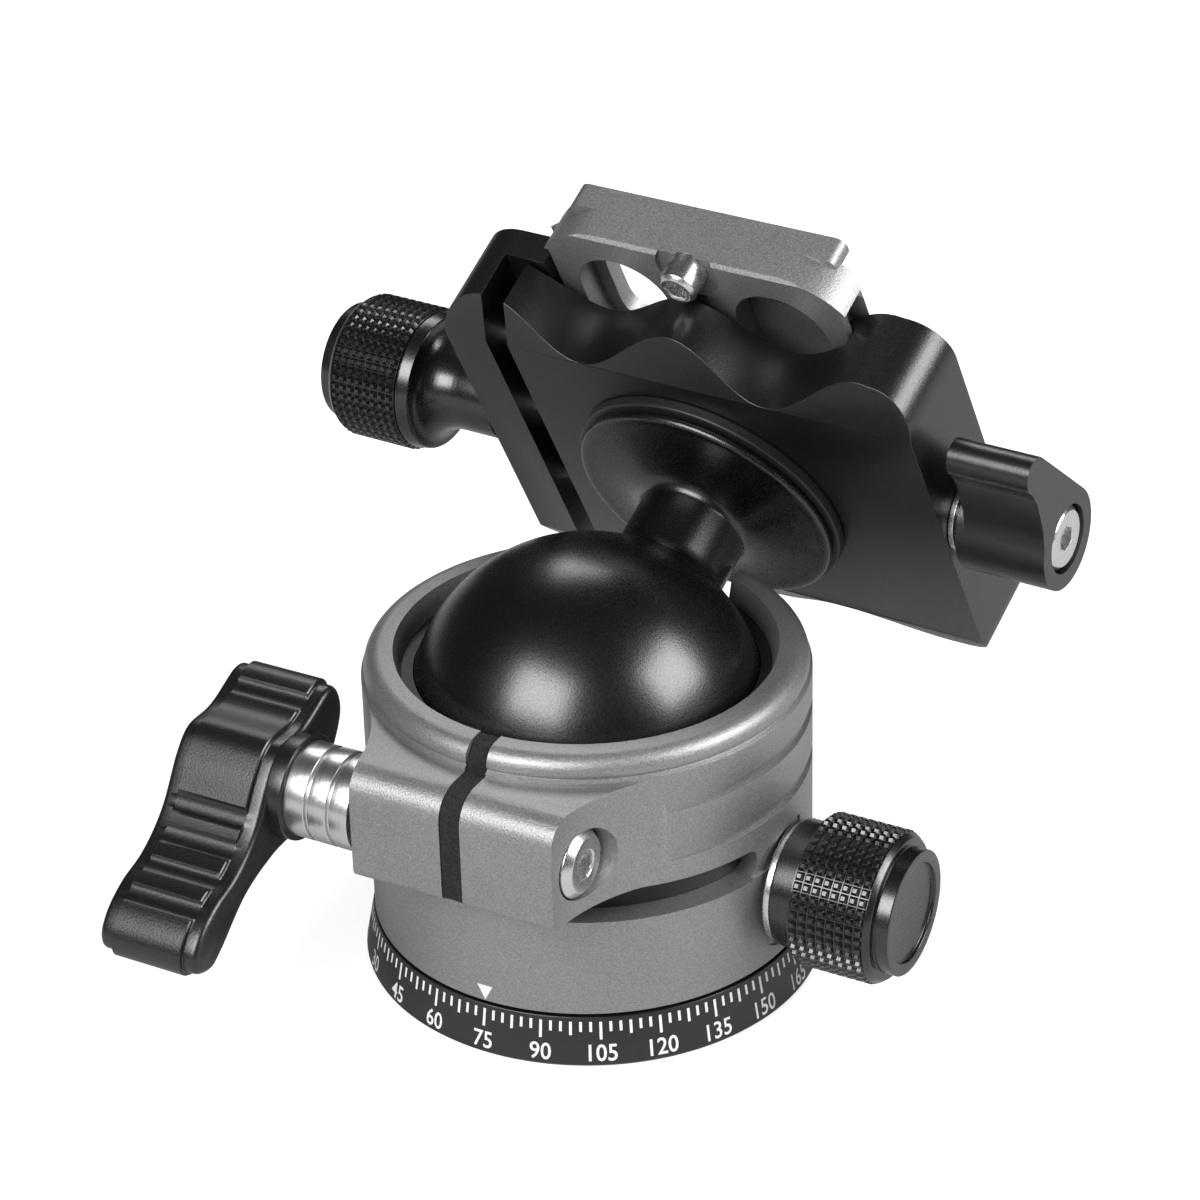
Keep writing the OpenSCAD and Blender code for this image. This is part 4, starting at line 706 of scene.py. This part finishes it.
jaw_neck = [(rod_hole_end, 0), (rod_hole_end, rod_hole_r), (neck_face, rod_hole_r), (neck_face, neck_r)]
jaw_neck += swell.tolist() + smooth_band
knob("jaw_screw_knob", jaw_neck, jaw_knurl_start, jaw_knurl_end, rod_left,
     "jaw_knob", "jaw_knob", "jaw_knob_cap")

# Quick lever: round hub with a finger bar, milled and anodised, its bright screw and the ring that it
# bears on. The screw is a socket screw in the end of the draw rod.
fitted(eased("quick_release_lever", "quick_lever", width=0.3, segments=3),
       black_skin, "quick_lever", "black_anodised", "quick_lever")
cap_grid = socket_screw(
    end=30.7, shank_r=1.25, seat=40.53, head_r=3.8, top=42.3, bevel_long=0.6, bevel_in=0.6,
    dish=[(0, 1.75, 0), (0.08, 1.5, 1)], socket_r=1.5, socket_deep=2.0, cone=0.3, ease=0.08)
fitted(surface("lever_cap_screw", [(placed(cap_grid, rod_right), True)], turn=32),
       bright, "quick_lever", "bright_steel", "lever_screw")
fitted(eased("bearing_ring", "cam_ring", width=0.12), bright, "clamp", "bright_steel", "cam_ring")

# Plate: grey dovetail plate with a raised end lip and long pockets, its two stop screws under the
# ends and its camera screw in the middle.
stop_y, stop_z = 27.9, 41.1
fitted(eased("dovetail_plate", "qr_plate", width=0.25), grey_skin, "plate", "grey_anodised", "qr_plate")
stop_grid = socket_screw(
    end=-4.3, shank_r=1.25, seat=-0.77, head_r=2.3, top=2.9, bevel_long=0.5, bevel_in=0.45,
    dish=[(0, 1.6, 0), (0.15, 1.35, 1)], socket_r=1.35, socket_deep=2.0, cone=0.3, ease=0.08)
stop_sheets = []
for side in (-1, 1):
    stop_spot = head_spot @ Matrix.Translation((0, side * stop_y * mm, stop_z * mm))
    stop_sheets.append((placed(stop_grid, stop_spot @ Matrix.Rotation(math.pi, 4, "X")), True))
fitted(surface("stop_cap_screws", stop_sheets, turn=32), bright, "plate", "bright_steel", "stop_screws")

# Camera screw: zinc-plated steel, turned with a slotted head under the plate; the end that stands out
# of the deck has 20 threads to the inch, a ridge wound round a thinner core.
pin_low, pin_high, pin_core, pin_tip, pin_slack = 46.1, 51.1, 2.6, 3.1, 0.01
screw_pitch, ridge_margin, ridge_half, ridge_sunk, ridge_rows = 1.27, 0.6, 0.45, 0.1, 120
thumb_screw = eased("camera_thumb_screw", "camera_screw", width=0.15)
screw_points = np.empty(len(thumb_screw.data.vertices) * 3, np.float32)
thumb_screw.data.vertices.foreach_get("co", screw_points)
screw_points = placed(screw_points.reshape(-1, 3), head_spot.inverted())
screw_points[screw_points[:, 2] > (pin_low - pin_slack) * mm, :2] *= pin_core / pin_tip
thumb_screw.data.vertices.foreach_set("co", placed(screw_points, head_spot).astype(np.float32).ravel())
fitted(thumb_screw, zinc, "camera_screw", "dark_steel", "camera_screw")
ridge_turns = (pin_high - pin_low - 2 * ridge_margin) / screw_pitch
wound = np.linspace(0, ridge_turns, ridge_rows)[:, None]
ridge_r = np.array([pin_core - ridge_sunk, pin_tip, pin_core - ridge_sunk])
ridge_z = pin_low + ridge_margin + screw_pitch * wound + np.array([-ridge_half, 0.0, ridge_half])
ridge = np.stack([ridge_r * np.cos(2 * np.pi * wound), ridge_r * np.sin(2 * np.pi * wound), ridge_z], -1) * mm
fitted(surface("camera_screw_thread", [(placed(ridge, head_spot), True)], turn=20, ends=True),
       zinc, "camera_screw", "dark_steel")
